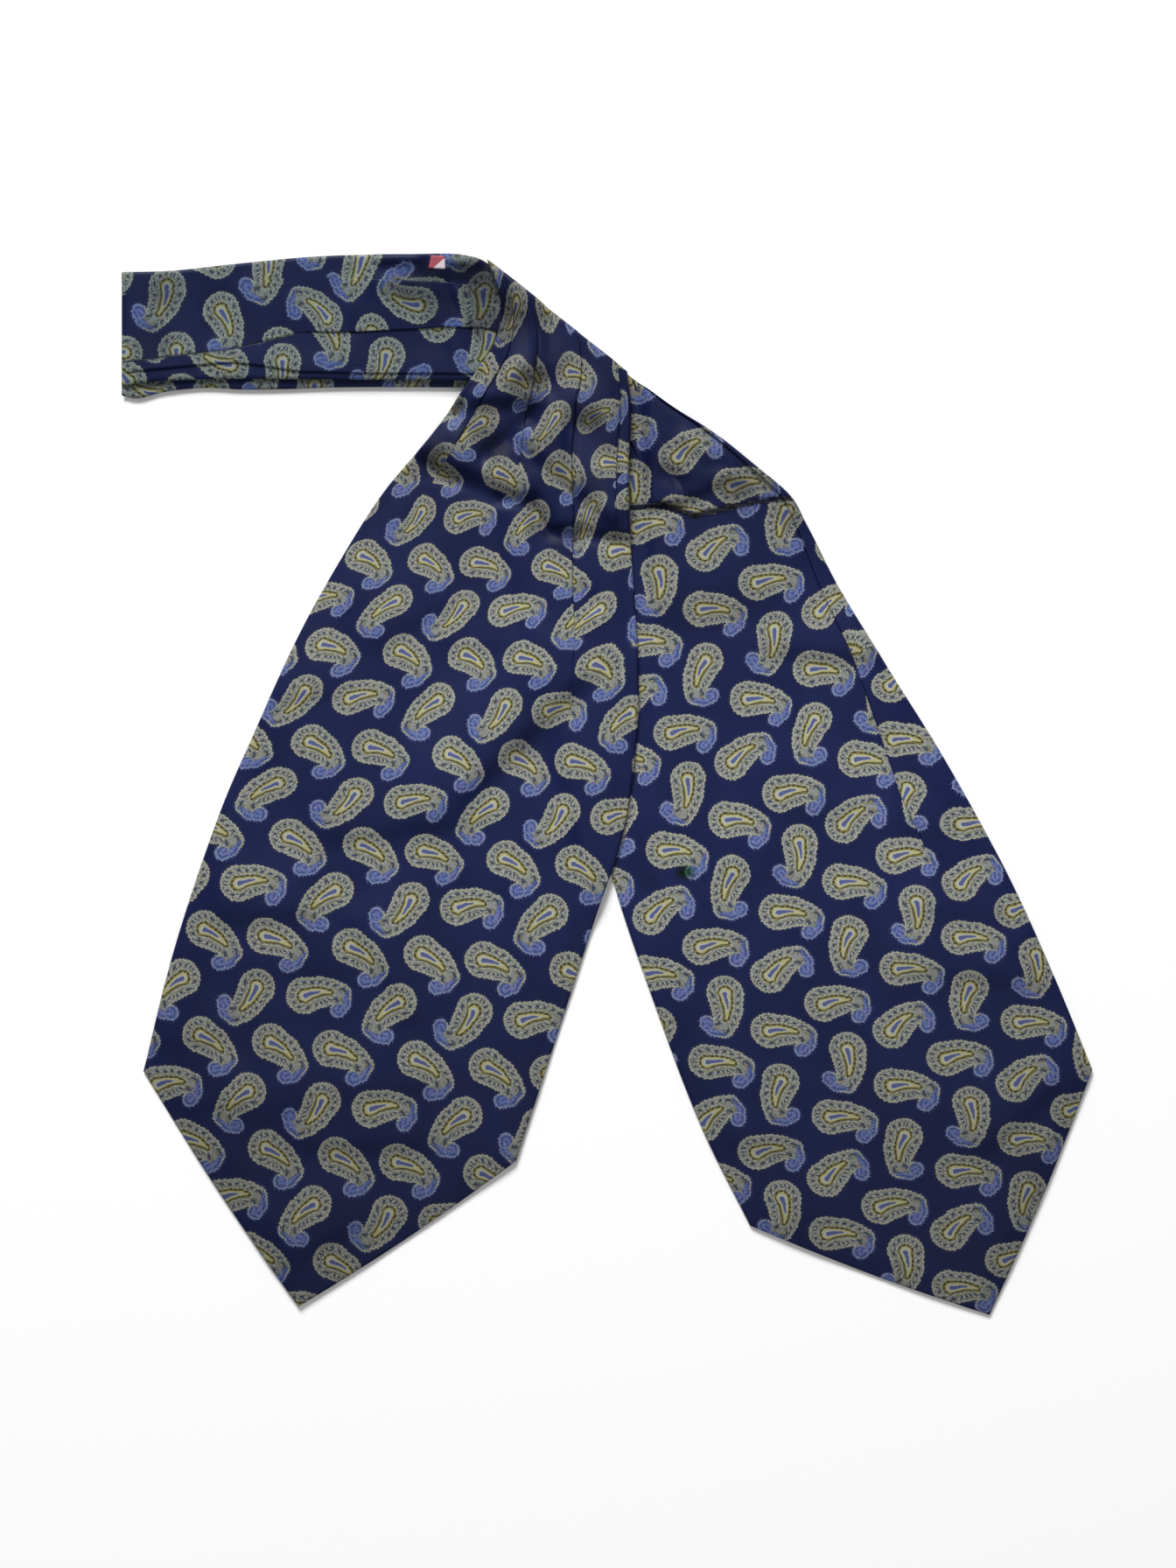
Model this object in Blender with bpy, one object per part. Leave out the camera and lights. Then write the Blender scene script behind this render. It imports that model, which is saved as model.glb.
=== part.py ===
"""Silk cravat laid flat: two pointed blades and a pleated neckband folded in half.

Every piece is a closed wall of cloth. Its plan is a strip of sections, each a straight line
across the cloth from its left edge to its right edge, and guides run down the strip along the
pleats. +X is right, +Y is up the table towards the neckband and +Z is up. All lies on z = 0.
"""
import bpy
import numpy as np

MM = 0.001  # every size below is in millimetres

# Cloth and gaps
BLADE_WALL = 1.8        # silk face, light interlining and silk back of a blade
BAND_WALL = 1.9         # one run of the neckband, its pleats pressed flat
SEAM_GAP = 0.3          # between pieces that are sewn together
REST_GAP = 0.35         # between a layer and the one it lies on
EDGE_ROLL = 0.9         # from a folded edge to the full wall
PLEAT_SLOPE = 0.35      # half the width of the step at a pleat's edge
TIP_FULLNESS = 0.025    # how far a point's two edges swell, as a share of its depth

# Gathered throat of the left blade
THROAT_RISE = 2.7       # height of the gathered pleats over the flat wall
THROAT_FOOT = 16.0      # length over which they sink to the flat blade
SHOULDER_RISE = 1.5     # the same for the right blade's gathers at the shoulder

# Where the left blade climbs over what it lies on
CLIMB = 12.0            # length of the slope up to the right blade
CLIMB_AHEAD = 6.0       # the slope ends this far outside the edge below
BAND_CLIMB = 8.0        # length of the slope up to the neckband

# Neckband
BAND_END_X = -37.5      # right end of the upper run, hidden under the left blade
UNDER_END_X = -50.6     # right end of the lower run, at its seam with the right blade
FOLD_X = -205.0         # left end, where the band is folded in half

SECTION = np.dtype([(name, float) for name in ("down", "left_x", "left_y", "right_x", "right_y")])
GUIDE = np.dtype([("name", "U16")] + [(name, float) for name in ("a", "b", "c", "d", "e", "f")])
PLEAT = np.dtype([("guide", "U16"), ("side", float), ("rise", float), ("ends", float), ("reach", float)])
CREASE = np.dtype([(name, float) for name in ("x0", "y0", "x1", "y1", "depth", "half_width")])
POINT = np.dtype([("x", float), ("y", float)])

# Left blade: sections from the shoulder (down = 0) to its two corners (down = 1)
LEFT_SECTIONS = np.array([
    (0.00, -52.5, 223.8, 8.5, 174.0),
    (0.06, -45.0, 203.0, 10.0, 157.5),
    (0.11, -46.0, 189.5, 9.5, 142.0),
    (0.20, -60.5, 166.5, 9.3, 122.0),
    (0.28, -75.5, 146.0, 10.0, 100.0),
    (0.36, -93.5, 125.0, 11.5, 79.0),
    (0.46, -112.5, 95.5, 13.0, 54.0),
    (0.56, -130.5, 63.0, 12.8, 24.0),
    (0.66, -149.2, 22.0, 7.5, -17.0),
    (0.78, -165.5, -16.5, -5.5, -57.7),
    (0.88, -182.0, -66.0, -21.2, -106.0),
    (1.00, -196.0, -121.0, -38.5, -159.0)], SECTION)
LEFT_TIP = (-130.5, -220.5)
LEFT_TIP_STARTS = 0.55

# Shares of the width at which the guides cross the sections at GUIDE_STATIONS
GUIDE_STATIONS = (0.0, 0.12, 0.28, 0.46, 0.62, 1.0)
LEFT_GUIDES = np.array([
    ("left_edge", 0.00, 0.00, 0.00, 0.00, 0.00, 0.00),
    ("edge_pleat", 0.10, 0.10, 0.12, 0.14, 0.16, 0.18),
    ("shoulder_pleat", 0.27, 0.29, 0.44, 0.50, 0.50, 0.50),
    ("main_pleat", 0.65, 0.59, 0.72, 0.79, 0.80, 0.74),
    ("side_pleat", 0.93, 0.91, 0.93, 0.95, 0.95, 0.92),
    ("right_edge", 1.00, 1.00, 1.00, 1.00, 1.00, 1.00)], GUIDE)
# side -1: the cloth left of the guide lies on top; reach is how far its rise runs back
LEFT_PLEATS = np.array([
    ("edge_pleat", -1.0, 0.9, 0.34, 9.0),
    ("shoulder_pleat", -1.0, 1.0, 0.30, 12.0),
    ("main_pleat", -1.0, 1.5, 0.58, 14.0),
    ("side_pleat", -1.0, 1.1, 0.33, 12.0)], PLEAT)
LEFT_CREASES = np.array([
    (-79.0, 142.0, -45.0, 120.5, -1.0, 5.0),
    (-45.0, 120.5, -22.0, 115.0, -0.9, 4.5),
    (-22.0, 107.0, 4.0, 105.0, -1.0, 4.0),
    (-34.0, 154.0, -54.0, 137.0, -1.1, 5.0),
    (-14.0, 78.0, -50.0, 22.0, -0.6, 7.0),
    (-50.0, 22.0, -66.0, -10.0, -0.4, 7.0),
    (-64.0, 148.0, -38.0, 172.0, 0.9, 8.0)], CREASE)
# Lower end of the throat's gathers, from the left edge to the right edge
LEFT_FOOT = np.array([(-95.0, 146.0), (-78.0, 141.0), (-45.0, 119.0), (-25.0, 112.0), (-18.0, 102.0),
                      (12.0, 100.0)], POINT)

# Right blade, underneath: its left edge is hidden down to the fork
RIGHT_SECTIONS = np.array([
    (0.00, -49.8, 220.0, 12.0, 170.6),
    (0.07, -49.4, 190.0, 28.5, 158.8),
    (0.14, -46.0, 160.0, 46.5, 147.5),
    (0.20, -40.0, 136.0, 64.5, 133.0),
    (0.24, -34.5, 117.0, 77.0, 122.5),
    (0.29, -29.0, 98.0, 84.5, 109.5),
    (0.38, -19.0, 52.0, 97.5, 84.0),
    (0.49, -8.0, 3.0, 118.5, 49.5),
    (0.60, 3.2, -43.0, 141.0, 13.5),
    (0.72, 19.2, -90.5, 166.5, -32.5),
    (0.86, 39.0, -142.8, 188.0, -79.0),
    (1.00, 60.4, -186.3, 205.0, -120.3)], SECTION)
RIGHT_TIP = (161.5, -224.0)
RIGHT_TIP_STARTS = 0.6
RIGHT_GUIDES = np.array([
    ("left_edge", 0.00, 0.00, 0.00, 0.00, 0.00, 0.00),
    ("middle", 0.44, 0.34, 0.36, 0.44, 0.50, 0.50),
    ("inner_pleat", 0.90, 0.58, 0.47, 0.56, 0.61, 0.63),
    ("outer_pleat", 0.95, 0.70, 0.58, 0.66, 0.70, 0.71),
    ("tuck", 0.985, 0.965, 0.96, 0.92, 0.84, 0.80),
    ("right_edge", 1.00, 1.00, 1.00, 1.00, 1.00, 1.00)], GUIDE)
RIGHT_PLEATS = np.array([
    ("inner_pleat", -1.0, 1.1, 0.24, 7.0),
    ("outer_pleat", -1.0, 1.2, 0.27, 8.0),
    ("tuck", 1.0, 1.1, 0.62, 16.0)], PLEAT)
RIGHT_CREASES = np.array([
    (71.0, 121.0, 48.0, 136.0, -1.3, 5.0),
    (64.0, 121.0, 37.0, 123.0, -1.0, 3.6),
    (29.0, 117.0, 12.0, 114.5, -1.0, 3.2),
    (35.0, 119.0, 27.0, 131.0, -0.8, 2.8),
    (52.0, 134.0, 33.0, 146.0, 1.0, 4.5),
    (60.0, 116.0, 40.0, 117.0, 0.6, 3.5),
    (86.0, 92.0, 100.0, 58.0, -0.5, 6.0)], CREASE)
RIGHT_FOOT = np.array([(-60.0, 116.0), (12.0, 114.0), (30.0, 118.0), (64.0, 123.0), (90.0, 126.0)], POINT)
# The right blade is plain where the left blade lies on it, left of this line
RIGHT_SHOWS = np.array([(12.0, 180.0), (14.0, 128.0), (17.0, 66.0), (14.0, -3.0), (6.0, -36.0)], POINT)

# Neckband: sections from its fold (down = 0) to its right end (down = 1); left is its lower edge
BAND_UPPER_SECTIONS = np.array([
    (0.00, FOLD_X, 168.5, FOLD_X, 216.3),
    (0.10, -189.0, 170.2, -187.5, 216.6),
    (0.28, -158.0, 171.2, -158.0, 219.6),
    (0.50, -123.0, 171.0, -123.0, 222.8),
    (0.74, -84.0, 170.8, -84.0, 223.7),
    (0.88, -59.0, 170.6, -59.5, 223.2),
    (0.93, -51.0, 170.6, -52.0, 220.9),
    (1.00, BAND_END_X, 170.6, BAND_END_X, 208.6)], SECTION)
BAND_UPPER_GUIDES = np.array([
    ("lower_edge", 0.00, 0.00, 0.00, 0.00, 0.00, 0.00),
    ("lower_pleat", 0.10, 0.11, 0.14, 0.06, 0.05, 0.05),
    ("middle_pleat", 0.44, 0.43, 0.40, 0.38, 0.375, 0.44),
    ("top_pleat", 0.80, 0.81, 0.83, 0.83, 0.80, 0.74),
    ("upper_edge", 1.00, 1.00, 1.00, 1.00, 1.00, 1.00)], GUIDE)
BAND_RUN = 0.72 / 2     # half the run over which a band pleat fades in or out, as a share of the band
BAND_PLEAT = np.dtype([("guide", "U16"), ("side", float), ("rise", float), ("starts", float), ("reach", float)])
BAND_PLEATS = np.array([
    ("lower_pleat", 1.0, 0.8, 0.02, 10.0),
    ("middle_pleat", 1.0, 0.8, 0.42, 14.0),
    ("top_pleat", -1.0, 0.9, 0.62, 14.0)], BAND_PLEAT)
BAND_CREASES = np.array([
    (-162.0, 205.0, -172.0, 176.0, -0.4, 5.0),
    (-121.0, 206.0, -108.0, 192.0, -0.4, 4.0),
    (-69.0, 210.0, -57.0, 188.0, -0.7, 2.6),
    (-64.0, 216.0, -52.0, 214.0, -0.8, 5.0),
    (-57.0, 206.0, -51.0, 192.0, 0.7, 4.5)], CREASE)

BAND_UNDER_SECTIONS = np.array([
    (0.00, FOLD_X, 164.4, FOLD_X, 216.0),
    (0.04, -199.0, 163.2, -199.0, 215.6),
    (0.10, -189.0, 165.6, -189.0, 216.0),
    (0.20, -173.0, 167.6, -173.0, 217.4),
    (0.33, -153.0, 167.0, -153.0, 219.0),
    (0.60, -109.0, 168.0, -109.0, 221.6),
    (0.80, -80.0, 168.0, -80.0, 221.8),
    (0.92, -62.0, 168.0, -62.0, 220.6),
    (1.00, UNDER_END_X, 168.6, UNDER_END_X, 217.5)], SECTION)
BAND_UNDER_GUIDES = np.array([
    ("lower_edge", 0.00, 0.00, 0.00, 0.00, 0.00, 0.00),
    ("upper_edge", 1.00, 1.00, 1.00, 1.00, 1.00, 1.00)], GUIDE)

# Label: a folded tab at the band's upper edge, between the throat and the pleats
LABEL_CORNERS = np.array([(-75.4, 217.4), (-68.0, 217.0), (-68.4, 222.6), (-74.2, 222.9)], POINT)
LABEL_THICK = 1.0

NAVY = (0.016, 0.018, 0.105, 1.0)
LABEL_RED = (0.50, 0.03, 0.05, 1.0)


def smooth_step(x):
    """0 below 0, 1 above 1, and the cubic 3x^2 - 2x^3 between."""
    x = np.clip(x, 0.0, 1.0)
    return x * x * (3.0 - 2.0 * x)


def curve_at(stations, values, at):
    """Smooth curve through the values: a cubic between two stations, its slope the neighbours' mean."""
    stations = np.asarray(stations, float)
    values = np.asarray(values, float)
    slopes = np.gradient(values, stations)
    span = np.clip(np.searchsorted(stations, at, side="right") - 1, 0, len(stations) - 2)
    length = stations[span + 1] - stations[span]
    s = (at - stations[span]) / length
    return ((1 + 2 * s) * (1 - s) ** 2 * values[span] + s * (1 - s) ** 2 * length * slopes[span]
            + s * s * (3 - 2 * s) * values[span + 1] + s * s * (s - 1) * length * slopes[span + 1])


def guide_share(guides, name, down):
    """Share of the width at which a guide crosses the sections at the given places down the strip."""
    row = guides[guides["name"] == name][0]
    return np.interp(down, GUIDE_STATIONS, [row[key] for key in "abcdef"])


def stations_down(count, first_rings, last_rings):
    """Even places down a strip, with rings close to both ends for their rolled edges."""
    first = np.asarray(first_rings)
    last = np.asarray(last_rings)
    even = np.linspace(first[-1], 1.0 - last[-1], count)
    return np.concatenate([first, even[1:-1], 1.0 - last[::-1]])


def shares_across(guides, pleats, spans, down, width):
    """Columns of a strip: even ones between guides, a pair at each pleat, and one ring at each edge."""
    names = list(guides["name"])
    shares = [guide_share(guides, names[0], down), guide_share(guides, names[0], down) + EDGE_ROLL / width]
    for index, count in enumerate(spans):
        here = guide_share(guides, names[index], down)
        there = guide_share(guides, names[index + 1], down)
        ends_on_pleat = names[index + 1] in pleats["guide"]
        for step in range(1, count):
            shares.append(here + (there - here) * step / count)
        if index == len(spans) - 1:
            shares.append(there - EDGE_ROLL / width)
            shares.append(there)
        elif ends_on_pleat:
            shares.append(there - PLEAT_SLOPE / width)
            shares.append(there + PLEAT_SLOPE / width)
        else:
            shares.append(there)
    return np.stack(shares, axis=1)


def strip_plan(sections, guides, pleats, spans, down, tip=None, tip_starts=1.0):
    """Plan points of a strip's grid in millimetres, with each point's share of the width and the width."""
    edge = {key: curve_at(sections["down"], sections[key], down) for key in sections.dtype.names[1:]}
    width = np.hypot(edge["right_x"] - edge["left_x"], edge["right_y"] - edge["left_y"])
    share = shares_across(guides, pleats, spans, down, width)
    x = edge["left_x"][:, None] + (edge["right_x"] - edge["left_x"])[:, None] * share
    y = edge["left_y"][:, None] + (edge["right_y"] - edge["left_y"])[:, None] * share
    if tip is not None:
        last = sections[-1]
        reach = np.clip((down - tip_starts) / (1.0 - tip_starts), 0.0, 1.0)[:, None]
        fall = 1.0 - np.abs(2.0 * share - 1.0)
        fall = fall + TIP_FULLNESS * np.sin(np.pi * fall)
        x = x + reach * fall * (tip[0] - (last["left_x"] + last["right_x"]) / 2)
        y = y + reach * fall * (tip[1] - (last["left_y"] + last["right_y"]) / 2)
    return x, y, share, width[:, None]


def crease_height(creases, x, y):
    """Soft troughs and ridges: a bell across each crease's line, fading past its two ends."""
    height = np.zeros_like(x)
    for crease in creases:
        run_x = crease["x1"] - crease["x0"]
        run_y = crease["y1"] - crease["y0"]
        along = ((x - crease["x0"]) * run_x + (y - crease["y0"]) * run_y) / (run_x ** 2 + run_y ** 2)
        held = np.clip(along, 0.0, 1.0)
        away = np.hypot(x - crease["x0"] - held * run_x, y - crease["y0"] - held * run_y)
        height += crease["depth"] * np.exp(-(away / crease["half_width"]) ** 2)
    return height


def pleat_height(guides, pleats, share, width, down):
    """Rise of each pleat: full at its folded edge, sinking over its reach on the side that lies on top."""
    height = np.zeros_like(share)
    for pleat in pleats:
        away = (share - guide_share(guides, pleat["guide"], down)[:, None]) * width * pleat["side"]
        fade = smooth_step((pleat["ends"] - down) / (0.6 * pleat["ends"]))[:, None]
        height += np.where(away > 0, pleat["rise"] * fade * np.exp(-(away / pleat["reach"]) ** 2), 0.0)
    return height


def band_pleat_height(guides, pleats, share, width, down):
    """The same on the neckband, where a pleat begins at its start and runs on to the right end."""
    height = np.zeros_like(share)
    for pleat in pleats:
        away = (share - guide_share(guides, pleat["guide"], down)[:, None]) * width * pleat["side"]
        fade = smooth_step((down - pleat["starts"]) / BAND_RUN + 0.3)[:, None]
        height += np.where(away > 0, pleat["rise"] * fade * np.exp(-(away / pleat["reach"]) ** 2), 0.0)
    return height


def ring_roundness(rows, columns, first_row_roll=(0.0,)):
    """0 on the outline and 1 inside, rising over the first rows as given."""
    round_off = np.ones((rows, columns))
    for index, value in enumerate(first_row_roll):
        round_off[index, :] = value
    round_off[-1, :] = 0.0
    round_off[:, 0] = 0.0
    round_off[:, -1] = 0.0
    return round_off


def rest_height(x, y):
    """Underside of the left blade: the table, climbing over the right blade and over the neckband."""
    below = RIGHT_SECTIONS[::-1]
    edge_x = np.interp(y, below["left_y"], below["left_x"])
    on_blade = smooth_step((x - edge_x + CLIMB_AHEAD + CLIMB) / CLIMB)
    band_side = smooth_step((BAND_END_X + CLIMB_AHEAD + BAND_CLIMB - x) / BAND_CLIMB)
    band_foot = smooth_step((y - 156.0) / BAND_CLIMB)
    blade_top = BLADE_WALL + REST_GAP
    band_top = 2 * BAND_WALL + 2 * REST_GAP + max(BAND_PLEATS["rise"]) + 0.3
    return on_blade * blade_top + (band_top - on_blade * blade_top) * band_side * band_foot


def wall_mesh(name, x, y, under, over, color, roughness):
    """Closed wall from two grids of heights that meet on the outline."""
    rows, columns = x.shape
    number = np.arange(rows * columns).reshape(rows, columns)
    inner = np.zeros((rows, columns), bool)
    inner[1:-1, 1:-1] = True
    middle = (under + over) / 2
    top_z = np.where(inner, over, middle)
    top = np.stack([x, y, top_z], axis=-1).reshape(-1, 3)
    bottom = np.stack([x, y, under], axis=-1)[inner]
    bottom_number = number.copy()
    bottom_number[inner] = rows * columns + np.arange(len(bottom))
    faces = []
    for grid, flip in ((number, False), (bottom_number, True)):
        quad = np.stack([grid[:-1, :-1], grid[1:, :-1], grid[1:, 1:], grid[:-1, 1:]], axis=-1)
        # Each quad is cut from its first corner, but for two of the strip's corners
        other = np.zeros(quad.shape[:2], bool)
        other[0, -1] = True
        other[-1, 0] = True
        one = np.where(other[..., None], quad[..., [0, 1, 3]], quad[..., [0, 1, 2]])
        two = np.where(other[..., None], quad[..., [1, 2, 3]], quad[..., [0, 2, 3]])
        triangles = np.concatenate([one.reshape(-1, 3), two.reshape(-1, 3)])
        faces.append(triangles[:, ::-1] if flip else triangles)
    mesh = bpy.data.meshes.new(name)
    mesh.from_pydata((np.concatenate([top, bottom]) * MM).tolist(), [], np.concatenate(faces).tolist())
    mesh.validate()
    mesh.shade_smooth()
    mesh.set_sharp_from_angle(angle=0.7)
    piece = bpy.data.objects.new(name, mesh)
    bpy.context.collection.objects.link(piece)
    mesh.materials.append(cloth_material(name, color, roughness))
    return piece


def cloth_material(name, color, roughness):
    material = bpy.data.materials.new(name)
    material.use_nodes = True
    shader = material.node_tree.nodes["Principled BSDF"]
    shader.inputs["Base Color"].default_value = color
    shader.inputs["Roughness"].default_value = roughness
    shader.inputs["Metallic"].default_value = 0.0
    return material


def build_blade_left():
    down = stations_down(46, (0.0, 0.0045, 0.011), (0.0, 0.0022))
    x, y, share, width = strip_plan(LEFT_SECTIONS, LEFT_GUIDES, LEFT_PLEATS, (4, 8, 8, 5, 2), down,
                                    LEFT_TIP, LEFT_TIP_STARTS)
    under = rest_height(x, y)
    foot = np.interp(x, LEFT_FOOT["x"], LEFT_FOOT["y"])
    thick = BLADE_WALL + THROAT_RISE * smooth_step((y - foot) / THROAT_FOOT)
    thick += pleat_height(LEFT_GUIDES, LEFT_PLEATS, share, width, down)
    thick = np.maximum(thick + crease_height(LEFT_CREASES, x, y), 1.2)
    roll = ring_roundness(*x.shape, first_row_roll=(0.0, 0.75))
    middle = under + thick / 2
    return wall_mesh("blade_left", x, y, middle - roll * thick / 2, middle + roll * thick / 2, NAVY, 0.45)


def build_blade_right():
    down = stations_down(46, (0.0, 0.008), (0.0, 0.0022))
    x, y, share, width = strip_plan(RIGHT_SECTIONS, RIGHT_GUIDES, RIGHT_PLEATS, (8, 5, 3, 8, 4), down,
                                    RIGHT_TIP, RIGHT_TIP_STARTS)
    line = RIGHT_SHOWS[::-1]
    shows = smooth_step((x - np.interp(y, line["y"], line["x"])) / 6.0)
    foot = np.interp(x, RIGHT_FOOT["x"], RIGHT_FOOT["y"])
    relief = SHOULDER_RISE * smooth_step((y - foot) / THROAT_FOOT)
    relief += pleat_height(RIGHT_GUIDES, RIGHT_PLEATS, share, width, down)
    relief += crease_height(RIGHT_CREASES, x, y)
    thick = np.maximum(BLADE_WALL + relief * shows, 1.2)
    roll = ring_roundness(*x.shape)
    middle = thick / 2
    return wall_mesh("blade_right", x, y, middle - roll * thick / 2, middle + roll * thick / 2, NAVY, 0.45)


def build_band_upper():
    down = stations_down(26, (0.0, 0.004, 0.010), (0.0, 0.006))
    x, y, share, width = strip_plan(BAND_UPPER_SECTIONS, BAND_UPPER_GUIDES, BAND_PLEATS, (2, 4, 4, 2), down)
    base = BAND_WALL + REST_GAP
    thick = BAND_WALL + band_pleat_height(BAND_UPPER_GUIDES, BAND_PLEATS, share, width, down)
    thick = np.maximum(thick + crease_height(BAND_CREASES, x, y), 1.2)
    roll = ring_roundness(*x.shape)
    fold = np.where(down < 0.004, 0.0, np.where(down < 0.010, 0.8, 1.0))[:, None]
    under = base + (1 - roll) * thick / 2 * fold
    over = base + np.where(roll > 0, thick, thick / 2) * fold
    over = np.where(roll > 0, over, under)
    return wall_mesh("band_upper", x, y, under, over, NAVY, 0.45)


def build_band_under():
    down = stations_down(26, (0.0, 0.004, 0.010), (0.0, 0.006))
    x, y, share, width = strip_plan(BAND_UNDER_SECTIONS, BAND_UNDER_GUIDES, BAND_PLEATS, (6,), down)
    roll = ring_roundness(*x.shape)
    fold = np.where(down < 0.004, 0.0, np.where(down < 0.010, 0.8, 1.0))[:, None]
    under = BAND_WALL - np.where(roll > 0, BAND_WALL, BAND_WALL / 2) * fold
    over = np.where(roll > 0, BAND_WALL, under)
    return wall_mesh("band_under", x, y, under, over, NAVY, 0.45)


def build_label():
    lift = 2 * BAND_WALL + REST_GAP + SEAM_GAP
    corner = LABEL_CORNERS
    grid_x = np.zeros((4, 4))
    grid_y = np.zeros((4, 4))
    for i, across in enumerate((0.0, 0.12, 0.88, 1.0)):
        for j, up in enumerate((0.0, 0.12, 0.88, 1.0)):
            for grid, key in ((grid_x, "x"), (grid_y, "y")):
                low = corner[key][0] + (corner[key][1] - corner[key][0]) * across
                high = corner[key][3] + (corner[key][2] - corner[key][3]) * across
                grid[i, j] = low + (high - low) * up
    roll = ring_roundness(4, 4)
    middle = lift + LABEL_THICK / 2
    under = np.full((4, 4), middle) - roll * LABEL_THICK / 2
    over = np.full((4, 4), middle) + roll * LABEL_THICK / 2
    return wall_mesh("label_tab", grid_x, grid_y, under, over, LABEL_RED, 0.6)


for old in list(bpy.data.objects):
    bpy.data.objects.remove(old, do_unlink=True)

build_band_under()
build_band_upper()
build_blade_right()
build_blade_left()
build_label()
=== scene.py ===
import math
import bpy
import numpy as np
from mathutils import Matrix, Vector


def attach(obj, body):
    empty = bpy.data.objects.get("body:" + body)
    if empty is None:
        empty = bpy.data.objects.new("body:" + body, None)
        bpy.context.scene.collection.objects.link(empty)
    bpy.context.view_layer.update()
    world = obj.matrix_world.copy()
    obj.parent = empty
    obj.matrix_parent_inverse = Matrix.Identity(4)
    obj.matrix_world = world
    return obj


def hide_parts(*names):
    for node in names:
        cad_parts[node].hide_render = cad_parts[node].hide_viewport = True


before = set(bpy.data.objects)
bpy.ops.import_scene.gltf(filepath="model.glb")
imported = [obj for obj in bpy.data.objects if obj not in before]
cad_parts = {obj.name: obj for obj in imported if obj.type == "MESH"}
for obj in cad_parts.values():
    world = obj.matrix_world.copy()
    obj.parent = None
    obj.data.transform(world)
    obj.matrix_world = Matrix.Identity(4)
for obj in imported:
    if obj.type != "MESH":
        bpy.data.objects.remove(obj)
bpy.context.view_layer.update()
print("frame loaded")

# Silk cravat laid flat: two pointed blades gathered into a neckband that is folded in half.
# Sizes in the tables are millimetres: +X right, +Y up the table to the neckband, z = 0 the table.
mm = 0.001
uvScale = 100.0  # millimetres of cloth to one unit of its uv map


def tableOf(numbers, first=()):
    # Names of a table's columns: numbers, and one of another kind that may come first
    return np.dtype([*first, *[(name, float) for name in numbers.split()]])


sectionType = tableOf("down leftX leftY rightX rightY")
# A pleat: its share of the width at the six stations, the side whose cloth lies on top (-1 left,
# 1 right, 0 a plain line without a fold), its rise, its start and end down the length, and how far
# from the fold the rise reaches
pleatType = tableOf("a b c d e f side rise starts ends reach", [("name", "U16")])
creaseType = tableOf("x0 y0 x1 y1 depth halfWidth")
stepType = tableOf("x0 y0 x1 y1 drop width reach")
pointType = tableOf("x y")
footType = tableOf("x y length")
driftType = tableOf("down leftAlong leftAcross rightAlong rightAcross")
pinType = tableOf("x y moveX moveY turn", [("panel", int)])

# Thickness of the cloth, its swell away from the edges, and the gap between layers
wall = {"blade": 1.8, "bladeRise": 1.1, "riseReach": 13.0, "band": 1.9, "least": 1.1, "restGap": 0.35}

# Distance in from a folded edge, and how far up the half wall the cloth has risen there
edgeProfile = ((0.0, 0.0), (0.12, 0.39), (0.4, 0.68), (0.85, 0.90), (1.5, 1.0))
# The same at the gathered shoulder, where the folded plies lie on each other
plyProfile = ((0.9, 0.0), (0.15, 0.08), (0.0, 0.2), (0.2, 0.32), (1.0, 0.38), (0.35, 0.45), (0.15, 0.58),
              (0.6, 0.75), (1.5, 0.92), (3.0, 1.0))
# Across a pleat whose left cloth lies on top: place when flat, place when folded, share of the rise
foldProfile = np.array([(-1.6, -1.6, 1.0), (-1.0, -0.8, 1.0), (-0.5, -0.25, 0.92), (-0.2, 0.0, 0.6),
                        (-0.05, -0.15, 0.28), (0.05, -1.0, 0.14), (0.2, -2.5, 0.1), (0.5, -2.6, 0.0),
                        (0.8, -1.4, 0.0), (1.2, -0.1, 0.0), (1.6, 1.6, 0.0)])
foldTurn = 6  # the cloth turns forward again after this column
foldReach = foldProfile[-1][0]
foldShare = 0.3  # a fold takes up no more than this share of the panel beside it
# Shares of the length over which a pleat fades, and the strength from which its fold lies full
pleatRun = {"fade": 0.6, "start": 0.12, "topFrom": 0.006, "topOver": 0.012, "lowFrom": 0.99, "lowOver": 0.02,
            "full": 0.25}
pleatStations = (0.0, 0.12, 0.28, 0.46, 0.62, 1.0)  # shares of the length at which the pleats are given
tipFullness = 0.025  # how far a point's two edges swell, as a share of its depth
pinPull = {"reach": 16.0, "rest": 0.15}  # how far a pin pulls the print, and how much holds it back


def smoothStep(x):
    # 0 below 0, 1 above 1, and the cubic 3x^2 - 2x^3 between
    x = np.clip(x, 0.0, 1.0)
    return x * x * (3.0 - 2.0 * x)


def curveAt(stations, values, at):
    # Cubic between two stations, its slope at each the mean of the neighbours'
    slopes = np.gradient(values, stations)
    span = np.clip(np.searchsorted(stations, at, side="right") - 1, 0, len(stations) - 2)
    length = stations[span + 1] - stations[span]
    s = (at - stations[span]) / length
    return ((1 + 2 * s) * (1 - s) ** 2 * values[span] + s * (1 - s) ** 2 * length * slopes[span]
            + s * s * (3 - 2 * s) * values[span + 1] + s * s * (s - 1) * length * slopes[span + 1])


def pleatShare(pleat, down):
    # Share of the width at which a pleat crosses the rows
    return np.interp(down, pleatStations, [pleat[key] for key in "abcdef"])


def pleatStrength(pleat, down):
    # 1 along a pleat, falling to 0 towards its lower end, or rising from its start
    ending = smoothStep((pleat["ends"] - down) / (pleatRun["fade"] * pleat["ends"]))
    starting = smoothStep((down - pleat["starts"]) / pleatRun["start"])
    return ending * starting


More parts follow.
